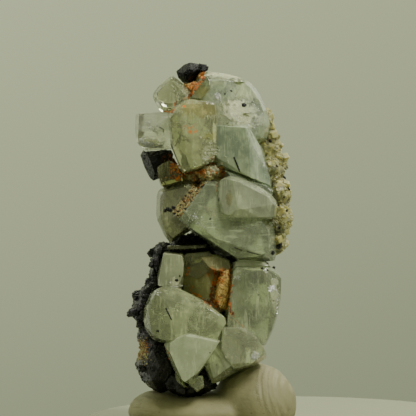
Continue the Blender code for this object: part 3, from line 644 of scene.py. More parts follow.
def crystal_finish(name, look):
    """Clear to milky beryl with clouds, growth grooves, frost, painted highlights, painted shade and iron stain."""
    made = Finish(name)
    shader = made.shader
    shift = float(len(name)) + 3.0 * look["clear"]
    cloud = made.spread(made.noise(0.30, 5.0, 0.62, shift=shift), 0.44, 0.66)
    wisp = made.spread(made.noise(0.9, 6.0, 0.7, (1.0, 1.0, 0.35), shift), 0.52, 0.66)
    streak = made.spread(made.stripes(look.get("striae", "z"), 3.2, 0.75), 0.50, 0.64)
    streak = made.maths("MULTIPLY", streak, made.spread(made.noise(0.7, 4.0, shift=shift + 2.0), 0.42, 0.60))
    speck = made.spread(made.noise(4.2, 2.0, 0.5, shift=shift), 0.64, 0.72)
    frost_and_highlight = made.patches(look.get("frost_and_highlight", []), 0.5)
    veins = made.spread(made.noise(2.6, 6.0, 0.75, shift=shift), 0.47, 0.55)
    rust = made.maths("MULTIPLY", made.patches(look.get("rust", []), 1.0), veins)
    olive = made.patches(look.get("olive", []), 0.5)
    haze = made.maths("MAXIMUM", cloud, made.maths("MULTIPLY", wisp, 0.7))
    patchy = made.spread(made.noise(0.55, 4.0, 0.6, shift=shift + 5.0), 0.53, 0.66)
    lines = made.maths("MULTIPLY", made.crackle(0.50, shift), patchy)
    patchy = made.spread(made.noise(0.9, 4.0, 0.6, shift=shift + 9.0), 0.54, 0.64)
    lines = made.maths("MAXIMUM", lines, made.maths("MULTIPLY", made.crackle(1.3, shift, 0.07), patchy))
    tint = look["tint"]
    colour = made.blend(made.maths("MULTIPLY", haze, 0.6), tint, look.get("milk", MILK))
    colour = made.blend(made.maths("MULTIPLY", speck, 0.16), colour, (0.16, 0.17, 0.10))
    colour = made.blend(made.maths("MULTIPLY", lines, 0.26), colour, (0.76, 0.80, 0.50))
    colour = made.blend(made.maths("MULTIPLY", streak, 0.35), colour, (0.78, 0.82, 0.50))
    colour = made.blend(made.maths("MULTIPLY", olive, 0.75), colour, (0.50, 0.40, 0.10))
    # Painted shade: darker green where a face is turned away from the light
    colour = made.blend(made.patches(look.get("painted_shade", []), 0.3), colour, (0.40, 0.50, 0.34))
    # Pale patches: frost, and on the side crystal's bottom a painted highlight
    colour = made.blend(frost_and_highlight, colour, (0.78, 0.80, 0.50))
    colour = made.blend(rust, colour, tuple(settings().rust_colour))
    made.link(colour, shader.inputs["Base Color"])
    clear = made.maths("SUBTRACT", look["clear"], made.maths("MULTIPLY", haze, 0.22))
    clear = made.maths("SUBTRACT", clear, made.maths("MULTIPLY", frost_and_highlight, 0.45))
    clear = made.maths("SUBTRACT", clear, made.maths("MULTIPLY", streak, 0.22))
    clear = made.maths("SUBTRACT", clear, made.maths("MULTIPLY", lines, 0.10))
    clear = made.maths("MULTIPLY", clear, made.maths("SUBTRACT", 1.0, made.maths("MULTIPLY", rust, 0.9)))
    made.link(made.maths("MAXIMUM", clear, 0.0), shader.inputs["Transmission Weight"])
    gloss = made.spread(made.noise(0.8, 5.0, 0.65, shift=3.0), 0.42, 0.75, 0.0, 0.10)
    gloss = made.maths("ADD", gloss, made.maths("MULTIPLY", frost_and_highlight, 0.25))
    made.link(gloss, shader.inputs["Roughness"])
    shader.inputs["IOR"].default_value = 1.57
    wavy = made.bump(made.noise(0.45, 2.0, 0.5, shift=shift), 0.12, 0.45)
    if "striae" in look:
        wavy = made.bump(made.stripes(look["striae"], 6.0), 0.05, 0.8, wavy)
    pitted = made.bump(made.noise(2.2, 4.0, 0.6, shift=shift), 0.022, 0.45, wavy)
    steps = made.bump(made.cells(1.1), 0.05, 0.10, pitted)
    if look.get("frost_and_highlight"):
        broken = made.maths("MULTIPLY", made.noise(1.6, 6.0, 0.7), frost_and_highlight)
        steps = made.bump(broken, 0.45, 1.0, steps)
    made.link(steps, shader.inputs["Normal"])
    absorb = made.node("ShaderNodeVolumeAbsorption")
    absorb.inputs["Color"].default_value = (*look.get("depth_colour", (0.62, 0.72, 0.40)), 1.0)
    absorb.inputs["Density"].default_value = look.get("depth", 120.0)
    made.link(absorb.outputs["Volume"], made.output.inputs["Volume"])
    return made.material


def worn_edge_finish(name):
    """The rubbed and chipped edges of the crystals, paler and duller than their faces."""
    made = Finish(name)
    shader = made.shader
    rubbed = made.spread(made.noise(1.1, 5.0, 0.7), 0.40, 0.62)
    made.link(made.blend(rubbed, (0.66, 0.72, 0.42), (0.80, 0.83, 0.54)), shader.inputs["Base Color"])
    made.link(made.maths("SUBTRACT", 0.95, made.maths("MULTIPLY", rubbed, 0.60)), shader.inputs["Transmission Weight"])
    made.link(made.spread(made.noise(2.2, 3.0), 0.3, 0.7, 0.05, 0.34), shader.inputs["Roughness"])
    shader.inputs["IOR"].default_value = 1.57
    made.link(made.bump(made.noise(3.5, 5.0, 0.7), 0.05, 0.8), shader.inputs["Normal"])
    return made.material


def fracture_finish(name):
    """Healed cracks inside the crystals: thin, bright where they face the light."""
    made = Finish(name)
    shader = made.shader
    made.link(
        made.blend(made.noise(0.8, 4.0), (0.86, 0.90, 0.78), (0.96, 0.97, 0.92)), shader.inputs["Base Color"]
    )
    made.link(made.spread(made.noise(1.8, 5.0, 0.7), 0.44, 0.60, 0.97, 0.20), shader.inputs["Transmission Weight"])
    made.link(made.spread(made.noise(1.2, 4.0), 0.35, 0.7, 0.03, 0.30), shader.inputs["Roughness"])
    shader.inputs["IOR"].default_value = 1.38
    made.link(made.bump(made.noise(1.4, 5.0, 0.65), 0.12, 0.9), shader.inputs["Normal"])
    return made.material


def painted_glint_finish(name):
    """Near-white flakes of beryl: painted glints, which also mirror the light where they face it."""
    made = Finish(name)
    shader = made.shader
    made.link(
        made.blend(made.noise(2.0, 3.0), (0.93, 0.95, 0.86), (1.0, 1.0, 0.97)), shader.inputs["Base Color"]
    )
    made.link(made.spread(made.noise(2.4, 3.0), 0.3, 0.7, 0.02, 0.12), shader.inputs["Roughness"])
    shader.inputs["IOR"].default_value = 1.57
    shader.inputs["Transmission Weight"].default_value = 0.55
    made.link(made.bump(made.noise(5.0, 3.0), 0.02, 0.3), shader.inputs["Normal"])
    return made.material


def rust_finish(name):
    """Iron stain: bright orange to dark brown, in crusts and threads along the seams."""
    made = Finish(name)
    shader = made.shader
    colour = made.blend(made.spread(made.noise(1.1, 5.0, 0.7), 0.40, 0.58), (0.80, 0.20, 0.008), (0.16, 0.040, 0.008))
    pale = made.spread(made.noise(1.9, 5.0, 0.7, shift=6.0), 0.56, 0.66)
    colour = made.blend(pale, colour, (0.74, 0.46, 0.13))
    made.link(colour, shader.inputs["Base Color"])
    made.link(made.spread(made.noise(2.0, 3.0), 0.3, 0.7, 0.3, 0.7), shader.inputs["Roughness"])
    made.link(made.bump(made.noise(3.0, 5.0, 0.7), 0.10, 0.9), shader.inputs["Normal"])
    return made.material


def schorl_finish(name, rusty=(), grey=1.0, gloss=0.22, black=(), cream=()):
    """Black tourmaline: glossy broken faces, fine lumps and cells, and a faint brown and violet cast."""
    made = Finish(name)
    shader = made.shader
    base = tuple(grey * c for c in settings().schorl_colour)
    cast = made.spread(made.noise(0.7, 4.0), 0.45, 0.7)
    colour = made.blend(cast, base, tuple(grey * c for c in (0.012, 0.010, 0.014)))
    brown = made.spread(made.noise(0.5, 5.0, shift=9.0), 0.60, 0.72)
    colour = made.blend(made.maths("MULTIPLY", brown, 0.7), colour, (0.030, 0.014, 0.006))
    if rusty:
        colour = made.blend(made.patches(rusty, 0.8), colour, (0.10, 0.022, 0.004))
    if black:
        colour = made.blend(made.patches(black, 0.3), colour, (0.0052, 0.0052, 0.0042))
    if cream:
        grainy = made.blend(made.spread(made.noise(2.4, 5.0, 0.7), 0.40, 0.56), (0.50, 0.32, 0.11), (0.26, 0.080, 0.015))
        colour = made.blend(made.patches(cream, 0.6), colour, grainy)
    made.link(colour, shader.inputs["Base Color"])
    made.link(made.spread(made.noise(2.6, 4.0), 0.35, 0.7, 0.16, 0.55), shader.inputs["Roughness"])
    shader.inputs["IOR"].default_value = 1.64
    shader.inputs["Specular IOR Level"].default_value = gloss
    lumpy = made.bump(made.noise(2.4, 6.0, 0.65), 0.16, 0.9)
    made.link(made.bump(made.cells(4.5), 0.08, 0.6, lumpy), shader.inputs["Normal"])
    return made.material


def fluorite_finish(name):
    """Pale yellow granular fluorite: sugary, slightly clear, dirtier in patches."""
    made = Finish(name)
    shader = made.shader
    base = tuple(settings().fluorite_colour)
    tone = made.spread(made.noise(0.55, 5.0, 0.65), 0.35, 0.7)
    colour = made.blend(tone, base, (0.74, 0.67, 0.31))
    rust = made.spread(made.noise(0.33, 5.0, 0.7, shift=4.0), 0.60, 0.74)
    colour = made.blend(made.maths("MULTIPLY", rust, 0.7), colour, (0.42, 0.24, 0.06))
    dirt = made.spread(made.noise(1.5, 5.0, 0.7, shift=7.0), 0.54, 0.66)
    colour = made.blend(made.maths("MULTIPLY", dirt, 0.30), colour, (0.32, 0.28, 0.12))
    made.link(colour, shader.inputs["Base Color"])
    made.link(made.spread(made.noise(2.0, 3.0), 0.3, 0.7, 0.22, 0.6), shader.inputs["Roughness"])
    shader.inputs["IOR"].default_value = 1.43
    shader.inputs["Transmission Weight"].default_value = 0.40
    shader.inputs["Subsurface Weight"].default_value = 0.8
    shader.inputs["Subsurface Radius"].default_value = (1.0, 0.85, 0.5)
    shader.inputs["Subsurface Scale"].default_value = 0.0009
    made.link(made.bump(made.noise(3.0, 5.0, 0.6), 0.07, 0.5), shader.inputs["Normal"])
    return made.material


def feldspar_finish(name, stained=0.5, olive=False):
    """Cream feldspar with orange iron stain soaked into a share of it."""
    made = Finish(name)
    shader = made.shader
    clean = (0.58, 0.54, 0.26) if olive else tuple(settings().feldspar_colour)
    rust = tuple(settings().rust_colour)
    edge = 0.62 - 0.24 * stained
    stain = made.spread(made.noise(0.9, 6.0, 0.7), edge - 0.07, edge + 0.07)
    colour = made.blend(stain, clean, rust)
    joints = made.crackle(1.9, 3.0, 0.14)
    colour = made.blend(made.maths("MULTIPLY", joints, 0.8), colour, (0.20, 0.060, 0.010))
    dark = made.spread(made.noise(1.6, 5.0, 0.7, shift=5.0), 0.60, 0.70)
    colour = made.blend(made.maths("MULTIPLY", dark, 0.8), colour, (0.07, 0.03, 0.012))
    made.link(colour, shader.inputs["Base Color"])
    made.link(made.spread(made.noise(2.0, 3.0), 0.3, 0.7, 0.45, 0.85), shader.inputs["Roughness"])
    made.link(made.bump(made.noise(2.8, 6.0, 0.7), 0.18, 1.0), shader.inputs["Normal"])
    return made.material


def putty_finish(name):
    """Dull putty with pressed fingerprint ridges and a little dirt."""
    made = Finish(name)
    shader = made.shader
    base = tuple(settings().putty_colour)
    colour = made.blend(made.spread(made.noise(0.18, 4.0), 0.3, 0.7), base, tuple(0.82 * c for c in base))
    dirt = made.spread(made.noise(1.7, 4.0, 0.6), 0.66, 0.72)
    colour = made.blend(made.maths("MULTIPLY", dirt, 0.7), colour, (0.16, 0.075, 0.035))
    stain = made.spread(made.noise(0.5, 6.0, 0.7, shift=2.0), 0.48, 0.70)
    colour = made.blend(made.maths("MULTIPLY", stain, 0.35), colour, (0.20, 0.17, 0.09))
    made.link(colour, shader.inputs["Base Color"])
    made.link(made.spread(made.noise(0.6, 3.0), 0.3, 0.7, 0.52, 0.74), shader.inputs["Roughness"])
    ridges = made.node("ShaderNodeTexWave", wave_type="BANDS", bands_direction="X")
    ridges.inputs["Scale"].default_value = 0.56 / MM
    ridges.inputs["Distortion"].default_value = 1.8
    ridges.inputs["Detail"].default_value = 1.5
    ridges.inputs["Detail Scale"].default_value = 0.4
    mapping = made.node("ShaderNodeMapping")
    mapping.inputs["Rotation"].default_value = (0.0, math.radians(12.0), math.radians(10.0))
    made.link(made.coords, mapping.inputs["Vector"])
    made.link(mapping.outputs["Vector"], ridges.inputs["Vector"])
    pressed = made.patches([((6.8, -3.5, 3.0), (2.6, 5.0, 2.9), 1.0)], 0.2)
    folded = made.patches([((-6.4, -4.0, 1.4), (2.4, 5.0, 1.4), 1.0)], 0.2)
    folds = made.spread(made.noise(0.5, 3.0, 0.5, (0.25, 0.25, 2.4), 4.0), 0.40, 0.60)
    print_height = made.maths("MULTIPLY", ridges.outputs["Fac"], pressed)
    soft = made.bump(made.noise(0.9, 6.0, 0.66), 0.16, 0.7)
    creases = made.bump(made.maths("MULTIPLY", folds, folded), 0.16, 0.8, soft)
    made.link(made.bump(print_height, 0.13, 0.9, creases), shader.inputs["Normal"])
    return made.material


def facing(yaw, pitch):
    """Unit vector towards the viewer, turned by yaw to the right and by pitch upwards."""
    yaw = math.radians(yaw)
    pitch = math.radians(pitch)
    return Vector((math.sin(yaw) * math.cos(pitch), -math.cos(yaw) * math.cos(pitch), math.sin(pitch)))


def crystal_planes(shape):
    """The faces of one crystal, each as a point on it and its outward direction."""
    outline = [Vector((x, 0.0, z)) for x, z in shape["outline"]]
    middle = sum(outline, Vector()) / len(outline)
    girdle = Vector((0.0, shape["mid"], 0.0))
    lean = math.radians(shape["lean"])
    planes = []
    for start, end in zip(outline, outline[1:] + outline[:1]):
        along = end - start
        outward = Vector((along.z, 0.0, -along.x)).normalized()
        if outward.dot(start - middle) < 0.0:
            outward.negate()
        for turn in (-lean, lean):
            planes.append((start + girdle, outward * math.cos(turn) + Vector((0.0, math.sin(turn), 0.0))))
    for x, y, z, yaw, pitch in shape["front"]:
        planes.append((Vector((x, y, z)), facing(yaw, pitch)))
    half_width = 0.5 * (max(x for x, _ in shape["outline"]) - min(x for x, _ in shape["outline"]))
    for side, yaw, pitch in BACK_FACES:
        behind = Vector((middle.x + side * half_width, shape["back"], middle.z))
        planes.append((behind, facing(yaw, pitch)))
    return planes


def slice_off(solid, point, outward):
    """Cuts away what lies outside a plane and closes the cut."""
    everything = solid.verts[:] + solid.edges[:] + solid.faces[:]
    cut = bmesh.ops.bisect_plane(
        solid, geom=everything, dist=1e-5, clear_outer=True, plane_co=point, plane_no=outward,
    )
    rim = [part for part in cut["geom_cut"] if isinstance(part, bmesh.types.BMEdge)]
    if rim:
        return bmesh.ops.contextual_create(solid, geom=rim)["faces"]
    return []


def chips(solid, chance):
    """Places for small chips: shallow ones along the edges, deeper ones on the corners."""
    solid.normal_update()
    places = []
    for edge in solid.edges:
        if len(edge.link_faces) != 2 or edge.calc_length() < 0.7:
            continue
        if edge.calc_face_angle(0.0) < math.radians(14.0):
            continue
        along = (edge.verts[1].co - edge.verts[0].co).normalized()
        outward = (edge.link_faces[0].normal + edge.link_faces[1].normal).normalized()
        for _ in range(2):
            spot = edge.verts[0].co.lerp(edge.verts[1].co, chance.uniform(0.1, 0.9))
            tilted = (outward + along * chance.uniform(-0.10, 0.10)).normalized()
            places.append((spot - tilted * chance.uniform(0.01, 0.07), tilted))
    for vert in solid.verts:
        if chance.random() < 0.7:
            way = vert.normal + Vector(chance.uniform(-0.25, 0.25) for _ in range(3))
            way.normalize()
            places.append((vert.co - way * chance.uniform(0.03, 0.12), way))
    return places


def cut_crystal(shape, grow, chamfer, seed):
    """One convex crystal cut out of a block by its faces, with chipped and worn edges."""
    solid = bmesh.new()
    bmesh.ops.create_cube(solid, size=STOCK)
    for point, outward in crystal_planes(shape):
        slice_off(solid, point + outward * grow, outward)
    bmesh.ops.dissolve_degenerate(solid, dist=1e-3, edges=solid.edges)
    for point, outward in chips(solid, random.Random(seed)):
        for face in slice_off(solid, point, outward):
            face.material_index = 1 if face.calc_area() < SMALL_CHIP else 0
    bmesh.ops.remove_doubles(solid, verts=solid.verts, dist=0.03)
    bmesh.ops.dissolve_degenerate(solid, dist=0.01, edges=solid.edges)
    worn = bmesh.ops.bevel(
        solid, geom=solid.edges[:], offset=chamfer, offset_type="OFFSET", segments=1,
        profile=0.5, affect="EDGES", clamp_overlap=True, material=-1,
    )
    for face in worn["faces"]:
        face.material_index = 1
    return solid


def piece(name, solid, material, slot, *replaced):
    """Turns a bmesh in millimetres into a finished piece of the object."""
    bmesh.ops.scale(solid, vec=(MM, MM, MM), verts=solid.verts)
    bmesh.ops.recalc_face_normals(solid, faces=solid.faces)
    mesh = bpy.data.meshes.new(name)
    solid.to_mesh(mesh)
    solid.free()
    return mesh_piece(name, mesh, material, slot, *replaced)


def mesh_piece(name, mesh, material, slot, *replaced):
    made = bpy.data.objects.new(name, mesh)
    bpy.context.scene.collection.objects.link(made)
    mesh.materials.clear()
    mesh.materials.append(material)
    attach(made, "root")
    if replaced:
        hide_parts(*replaced)
    return made


def template(solid):
    """Points and triangles of a small shape that is repeated many times."""
    bmesh.ops.triangulate(solid, faces=solid.faces)
    bmesh.ops.recalc_face_normals(solid, faces=solid.faces)
    solid.verts.ensure_lookup_table()
    points = np.array([v.co for v in solid.verts], float)
    faces = np.array([[v.index for v in f.verts] for f in solid.faces], int)
    solid.free()
    return points, faces


def repeated(name, shapes, places):
    """One mesh of many small shapes, each put at its place by a turn, a size and a point."""
    points = []
    faces = []
    start = 0
    for index, (turn, size, spot) in enumerate(places):
        corners, triangles = shapes[index % len(shapes)]
        points.append((corners * size) @ np.array(turn).T + np.array(spot))
        faces.append(triangles + start)
        start += len(corners)
    mesh = bpy.data.meshes.new(name)
    mesh.from_pydata(np.concatenate(points) * MM, [], np.concatenate(faces).tolist())
    mesh.validate()
    return mesh


def rock_template(seed, squash=0.75, worn=0.16):
    """A small broken grain: a cube with cut corners, pulled out of true."""
    chance = random.Random(seed)
    solid = bmesh.new()
    bmesh.ops.create_cube(solid, size=1.0)
    bmesh.ops.bevel(
        solid, geom=solid.edges[:], offset=worn, offset_type="OFFSET", segments=1,
        profile=0.5, affect="EDGES", clamp_overlap=True, material=-1,
    )
    for vert in solid.verts:
        vert.co += Vector(chance.uniform(-0.55, 0.55) * worn for _ in range(3))
        vert.co.z *= squash
    return template(solid)


def prism_template(seed):
    """A stubby six-sided schorl crystal with a low three-faced point."""
    chance = random.Random(seed)
    solid = bmesh.new()
    bmesh.ops.create_cone(solid, cap_ends=True, segments=6, radius1=0.36, radius2=0.34, depth=1.0)
    top = [f for f in solid.faces if f.normal.z > 0.9]
    bmesh.ops.poke(solid, faces=top, offset=chance.uniform(0.1, 0.22))
    for vert in solid.verts:
        vert.co += Vector(chance.uniform(-0.03, 0.03) for _ in range(3))
    return template(solid)


def drawn_in(node, middle_x, middle_z, reach_x, reach_z, shift):
    """A merged copy of a solid, drawn in to the right round one place of its left side."""
    solid = bmesh.new()
    solid.from_mesh(frame["nodes"][node].data)
    bmesh.ops.remove_doubles(solid, verts=solid.verts, dist=1e-3 * MM)
    for vert in solid.verts:
        away = math.hypot((vert.co.x / MM - middle_x) / reach_x, (vert.co.z / MM - middle_z) / reach_z)
        if away < 1.0:
            vert.co.x += shift * MM * (1.0 - away * away) ** 2
    bmesh.ops.recalc_face_normals(solid, faces=solid.faces)
    mesh = bpy.data.meshes.new(node + "_body")
    solid.to_mesh(mesh)
    solid.free()
    return mesh


def surface_places(source, count, seed, size, keep, sunk=0.1, lean=0.9):
    """Seeded places all over a mesh, as turn, size and point in millimetres."""
    source.calc_loop_triangles()
    points = np.empty(len(source.vertices) * 3, np.float32)
    source.vertices.foreach_get("co", points)
    points = points.reshape(-1, 3) / MM
    corners = np.array([t.vertices for t in source.loop_triangles], int)
    a, b, c = (points[corners[:, i]] for i in range(3))
    normals = np.cross(b - a, c - a)
    areas = np.linalg.norm(normals, axis=1)
    good = areas > 1e-6
    a, b, c, normals, areas = a[good], b[good], c[good], normals[good], areas[good]
    chance = np.random.RandomState(seed)
    places = []
    while len(places) < count:
        pick = chance.choice(len(areas), p=areas / areas.sum())
        u, v = chance.rand(2)
        if u + v > 1.0:
            u, v = 1.0 - u, 1.0 - v
        spot = a[pick] + u * (b[pick] - a[pick]) + v * (c[pick] - a[pick])
        way = normals[pick] / areas[pick]
        roll = chance.rand(4)
        if not keep(spot, way):
            continue
        grown = size * (0.55 + 0.9 * roll[0] ** 2)
        tip = Euler([lean * (r - 0.5) * 2.0 for r in roll[1:]]).to_matrix()
        turn = tip @ Vector(way).to_track_quat("Z", "Y").to_matrix()
        places.append((turn, grown, spot - way * grown * sunk))
    return places


def add_crack(sheets, shape, chance):
    """A thin, wavy, ragged sheet inside one crystal, kept clear of its faces."""
    middle_x = sum(x for x, _ in shape["outline"]) / len(shape["outline"])
    middle_z = sum(z for _, z in shape["outline"]) / len(shape["outline"])
    width = max(x for x, _ in shape["outline"]) - min(x for x, _ in shape["outline"])
    radius = width * chance.uniform(0.10, 0.36)
    middle = Vector((
        middle_x + chance.uniform(-0.28, 0.28) * width,
        shape["mid"] - chance.uniform(0.2, 2.4),
        middle_z + chance.uniform(-0.28, 0.28) * width,
    ))
    around = chance.uniform(-math.pi, math.pi)
    across = Vector((math.cos(around), chance.uniform(-0.38, 0.38), math.sin(around)))
    turn = across.to_track_quat("Z", "Y").to_matrix()
    shift = Vector((chance.uniform(0.0, 50.0), 3.0, 7.0))
    sheet = bmesh.new()
    bmesh.ops.create_grid(sheet, x_segments=16, y_segments=16, size=radius)
    worn = []
    for vert in sheet.verts:
        wave = noise.noise(vert.co * 0.7 / radius + shift)
        ragged = 0.55 + 0.6 * noise.noise(vert.co * 2.2 / radius + shift * 2.0)
        if vert.co.length > radius * ragged * 1.4:
            worn.append(vert)
        vert.co.z += wave * radius * 0.35
        vert.co = turn @ vert.co + middle
    bmesh.ops.delete(sheet, geom=worn, context="VERTS")
    for point, outward in crystal_planes(shape):
        everything = sheet.verts[:] + sheet.edges[:] + sheet.faces[:]
        bmesh.ops.bisect_plane(
            sheet, geom=everything, dist=1e-5, clear_outer=True,
            plane_co=point - outward * 0.14, plane_no=outward,
        )
    bmesh.ops.solidify(sheet, geom=sheet.faces[:], thickness=0.02)
    holder = bpy.data.meshes.new("crack")
    sheet.to_mesh(holder)
    sheet.free()
    sheets.from_mesh(holder)
    bpy.data.meshes.remove(holder)


def add_rod(rods, start, end, radius):
    """A thin six-sided needle between two points."""
    along = end - start
    turn = along.to_track_quat("Z", "Y").to_matrix().to_4x4()
    bmesh.ops.create_cone(
        rods, cap_ends=True, segments=6, radius1=radius, radius2=radius * 0.7, depth=along.length,
        matrix=Matrix.Translation((start + end) * 0.5) @ turn,
    )


def front_finder(only=None):
    """Finds the specimen's front surface at an x, z, in millimetres, or None where nothing is behind it."""
    corners = []
    triangles = []
    for made in list(bpy.data.objects):
        if made.type != "MESH" or made.name.startswith(("cracks", "mounting", "putty", "floor")):
            continue
        if made.name in CLUSTERS or made.name == "schorl_mass" or (only and not made.name.startswith(only)):
            continue
        start = len(corners)
        corners.extend(v.co / MM for v in made.data.vertices)
        made.data.calc_loop_triangles()
        triangles.extend([start + i for i in t.vertices] for t in made.data.loop_triangles)
    tree = BVHTree.FromPolygons(corners, triangles)

    def front(x, z):
        return tree.ray_cast(Vector((x, -40.0, z)), Vector((0.0, 1.0, 0.0)))[0]

    return front


def any_turn(chance):
    return Euler([chance.uniform(-3.1, 3.1) for _ in range(3)]).to_matrix()


def lit_turn(chance):
    """A turn that lays a flake so that it throws the main light towards the front."""
    way = facing(GLINT_WAY[0] + chance.gauss(0.0, 4.0), GLINT_WAY[1] + chance.gauss(0.0, 4.0))
    return way.to_track_quat("Z", "Y").to_matrix() @ Matrix.Rotation(chance.uniform(-3.1, 3.1), 3, "Z")


def along_run(run, share):
    """The point at a share of a run of x, z points."""
    lengths = [math.dist(a, b) for a, b in zip(run, run[1:])]
    left = share * sum(lengths)
    for (x0, z0), (x1, z1), length in zip(run, run[1:], lengths):
        if left <= length:
            part = left / length
            return x0 + (x1 - x0) * part, z0 + (z1 - z0) * part
        left -= length
    return run[-1]


class SpecimenGrowCrystals(bpy.types.Operator):
    """Grow the clear aquamarine crystals of the three clusters."""

    bl_idname = "specimen.grow_crystals"
    bl_label = "Aquamarine crystals"

    def execute(self, context):
        chosen = settings()
        edge = worn_edge_finish("beryl_worn_edge")
        for cluster, shapes in {**CLUSTERS, "": SMALL_CRYSTALS}.items():
            for seed, (name, shape) in enumerate(shapes.items()):
                swell = LOOKS[name].get("swell", chosen.swell / MM)
                solid = cut_crystal(shape, swell, chosen.chamfer / MM, 70 + seed)
                finish = crystal_finish("beryl_" + name, LOOKS[name])
                replaced = [cluster] if cluster else []
                made = piece("crystal_" + name, solid, finish, "aquamarine_clear", *replaced)
                made.data.materials.append(edge)
        return {"FINISHED"}


class SpecimenHealCracks(bpy.types.Operator):
    """Lay healed cracks inside the clear crystals."""

    bl_idname = "specimen.heal_cracks"
    bl_label = "Healed cracks"

    def execute(self, context):
        finish = fracture_finish("healed_crack")
        chance = random.Random(12)
        for cluster, shapes in {**CLUSTERS, "small": SMALL_CRYSTALS}.items():
            sheets = bmesh.new()
            for name, shape in shapes.items():
                for _ in range(LOOKS[name]["cracks"]):
                    add_crack(sheets, shape, chance)
            piece("cracks_" + cluster, sheets, finish, "aquamarine_clear")
        return {"FINISHED"}


class SpecimenPlaceInclusions(bpy.types.Operator):
    """Place the black needles and specks, the iron stain and the crusted end."""

    bl_idname = "specimen.place_inclusions"
    bl_label = "Needles, specks and stains"

    def execute(self, context):
        front = front_finder()
        on_schorl = front_finder("schorl_mass")
        black = schorl_finish("schorl_bits")
        chance = random.Random(33)
        shapes = [rock_template(seed, 0.8) for seed in range(60, 68)]

        rods = bmesh.new()
        for (x0, z0), (x1, z1), thick, deep in NEEDLES:
            spots = [front(x0 + (x1 - x0) * share, z0 + (z1 - z0) * share) for share in NEEDLE_SHARES]
            if None in spots:
                raise RuntimeError(f"the needle at {x0}, {z0} has no crystal to lie in")
            sunk = Vector((0.0, deep, 0.0))
            for start, end in zip(spots, spots[1:]):
                if abs(end.y - start.y) > NEEDLE_STEP:
                    raise RuntimeError(f"the needle at {x0}, {z0} leaves its crystal")
                add_rod(rods, start + sunk, end + sunk, thick * 0.5)
        piece("schorl_needles", rods, black, "schorl_black")

        places = []
        for x, z, size in SPECKS:
            for _ in range(3):
                found = front(x + chance.gauss(0, 0.16) * size, z + chance.gauss(0, 0.16) * size)
                if found is not None:
                    spot = found + Vector((0.0, 0.2 * size, 0.0))
                    places.append((any_turn(chance), size * chance.uniform(0.7, 1.1), spot))
        mesh_piece("schorl_specks", repeated("schorl_specks", shapes, places), black, "schorl_black")

        places = []
        for run, size, count in THREADS:
            for _ in range(count):
                x, z = along_run(run, chance.random())
                x += chance.gauss(0.0, size * 0.5)
                z += chance.gauss(0.0, size * 0.5)
                found = front(x, z)
                if found is not None:
                    spot = found + Vector((0.0, size * 0.25, 0.0))
                    places.append((any_turn(chance), size * chance.uniform(0.35, 1.0), spot))
        mesh_piece(
            "iron_stain", repeated("iron_stain", shapes, places), rust_finish("iron_stain"), "feldspar_stained"
        )

        top, foot, width = CRUSTED_END
        mixed = {"cream": [], "black": [], "rust": [], "clear": [], "bright": []}
        # Near-white grains along the crystal edges: painted highlights
        for run, grain, count in PAINTED_EDGE_HIGHLIGHTS:
            for _ in range(count):
                x, z = along_run(run, chance.random())
                found = front(x + chance.gauss(0.0, 0.3) * grain, z + chance.gauss(0.0, 0.3) * grain)
                if found is not None:
                    mixed["bright"].append((any_turn(chance), grain * chance.uniform(0.5, 1.3), found))
        for x, z, wide, high, kind, grain, count in CLUMPS:
            for _ in range(count):
                spot_x = x + chance.gauss(0.0, 0.5) * wide
                spot_z = z + chance.gauss(0.0, 0.5) * high
                size = grain * chance.uniform(0.5, 1.2)
                found = (on_schorl if kind == "black" else front)(spot_x, spot_z)
                if found is not None:
                    # Bright grains are near-white painted glints, most turned to reflect the main light
                    turn = lit_turn(chance) if kind == "bright" and chance.random() < 0.6 else any_turn(chance)
                    sunk = size * (0.34 if kind in ("cream", "rust") else 0.15)
                    mixed[kind].append((turn, size, found + Vector((0.0, sunk, 0.0))))
        for _ in range(1150):
            x, z = along_run([top, foot], chance.random())
            side = chance.uniform(-1.0, 1.0) * width
            x += side * 0.79
            z -= side * 0.61
            kind = chance.choices(("cream", "black", "rust"), (0.56, 0.34, 0.10))[0]
            size = chance.uniform(0.10, 0.20)
            found = front(x, z)
            if found is not None:
                mixed[kind].append((any_turn(chance), size, found + Vector((0.0, size * 0.2, 0.0))))
        finishes = {
            "cream": (feldspar_finish("crusted_cream", 0.0, True), "feldspar_stained"),
            "black": (black, "schorl_black"),
            "rust": (rust_finish("crusted_rust"), "feldspar_stained"),
            "clear": (crystal_finish("beryl_grains", {"tint": PALE, "clear": 0.62, "milk": (0.70, 0.74, 0.44)}), "aquamarine_clear"),
            # The bright flakes are near-white painted glints
            "bright": (painted_glint_finish("beryl_glints"), "aquamarine_clear"),
        }
        flakes = [rock_template(seed, 0.35) for seed in range(80, 86)]
        for kind, found in mixed.items():
            name = "small_grains_" + kind
            mesh_piece(name, repeated(name, flakes if kind == "bright" else shapes, found), *finishes[kind])
        return {"FINISHED"}


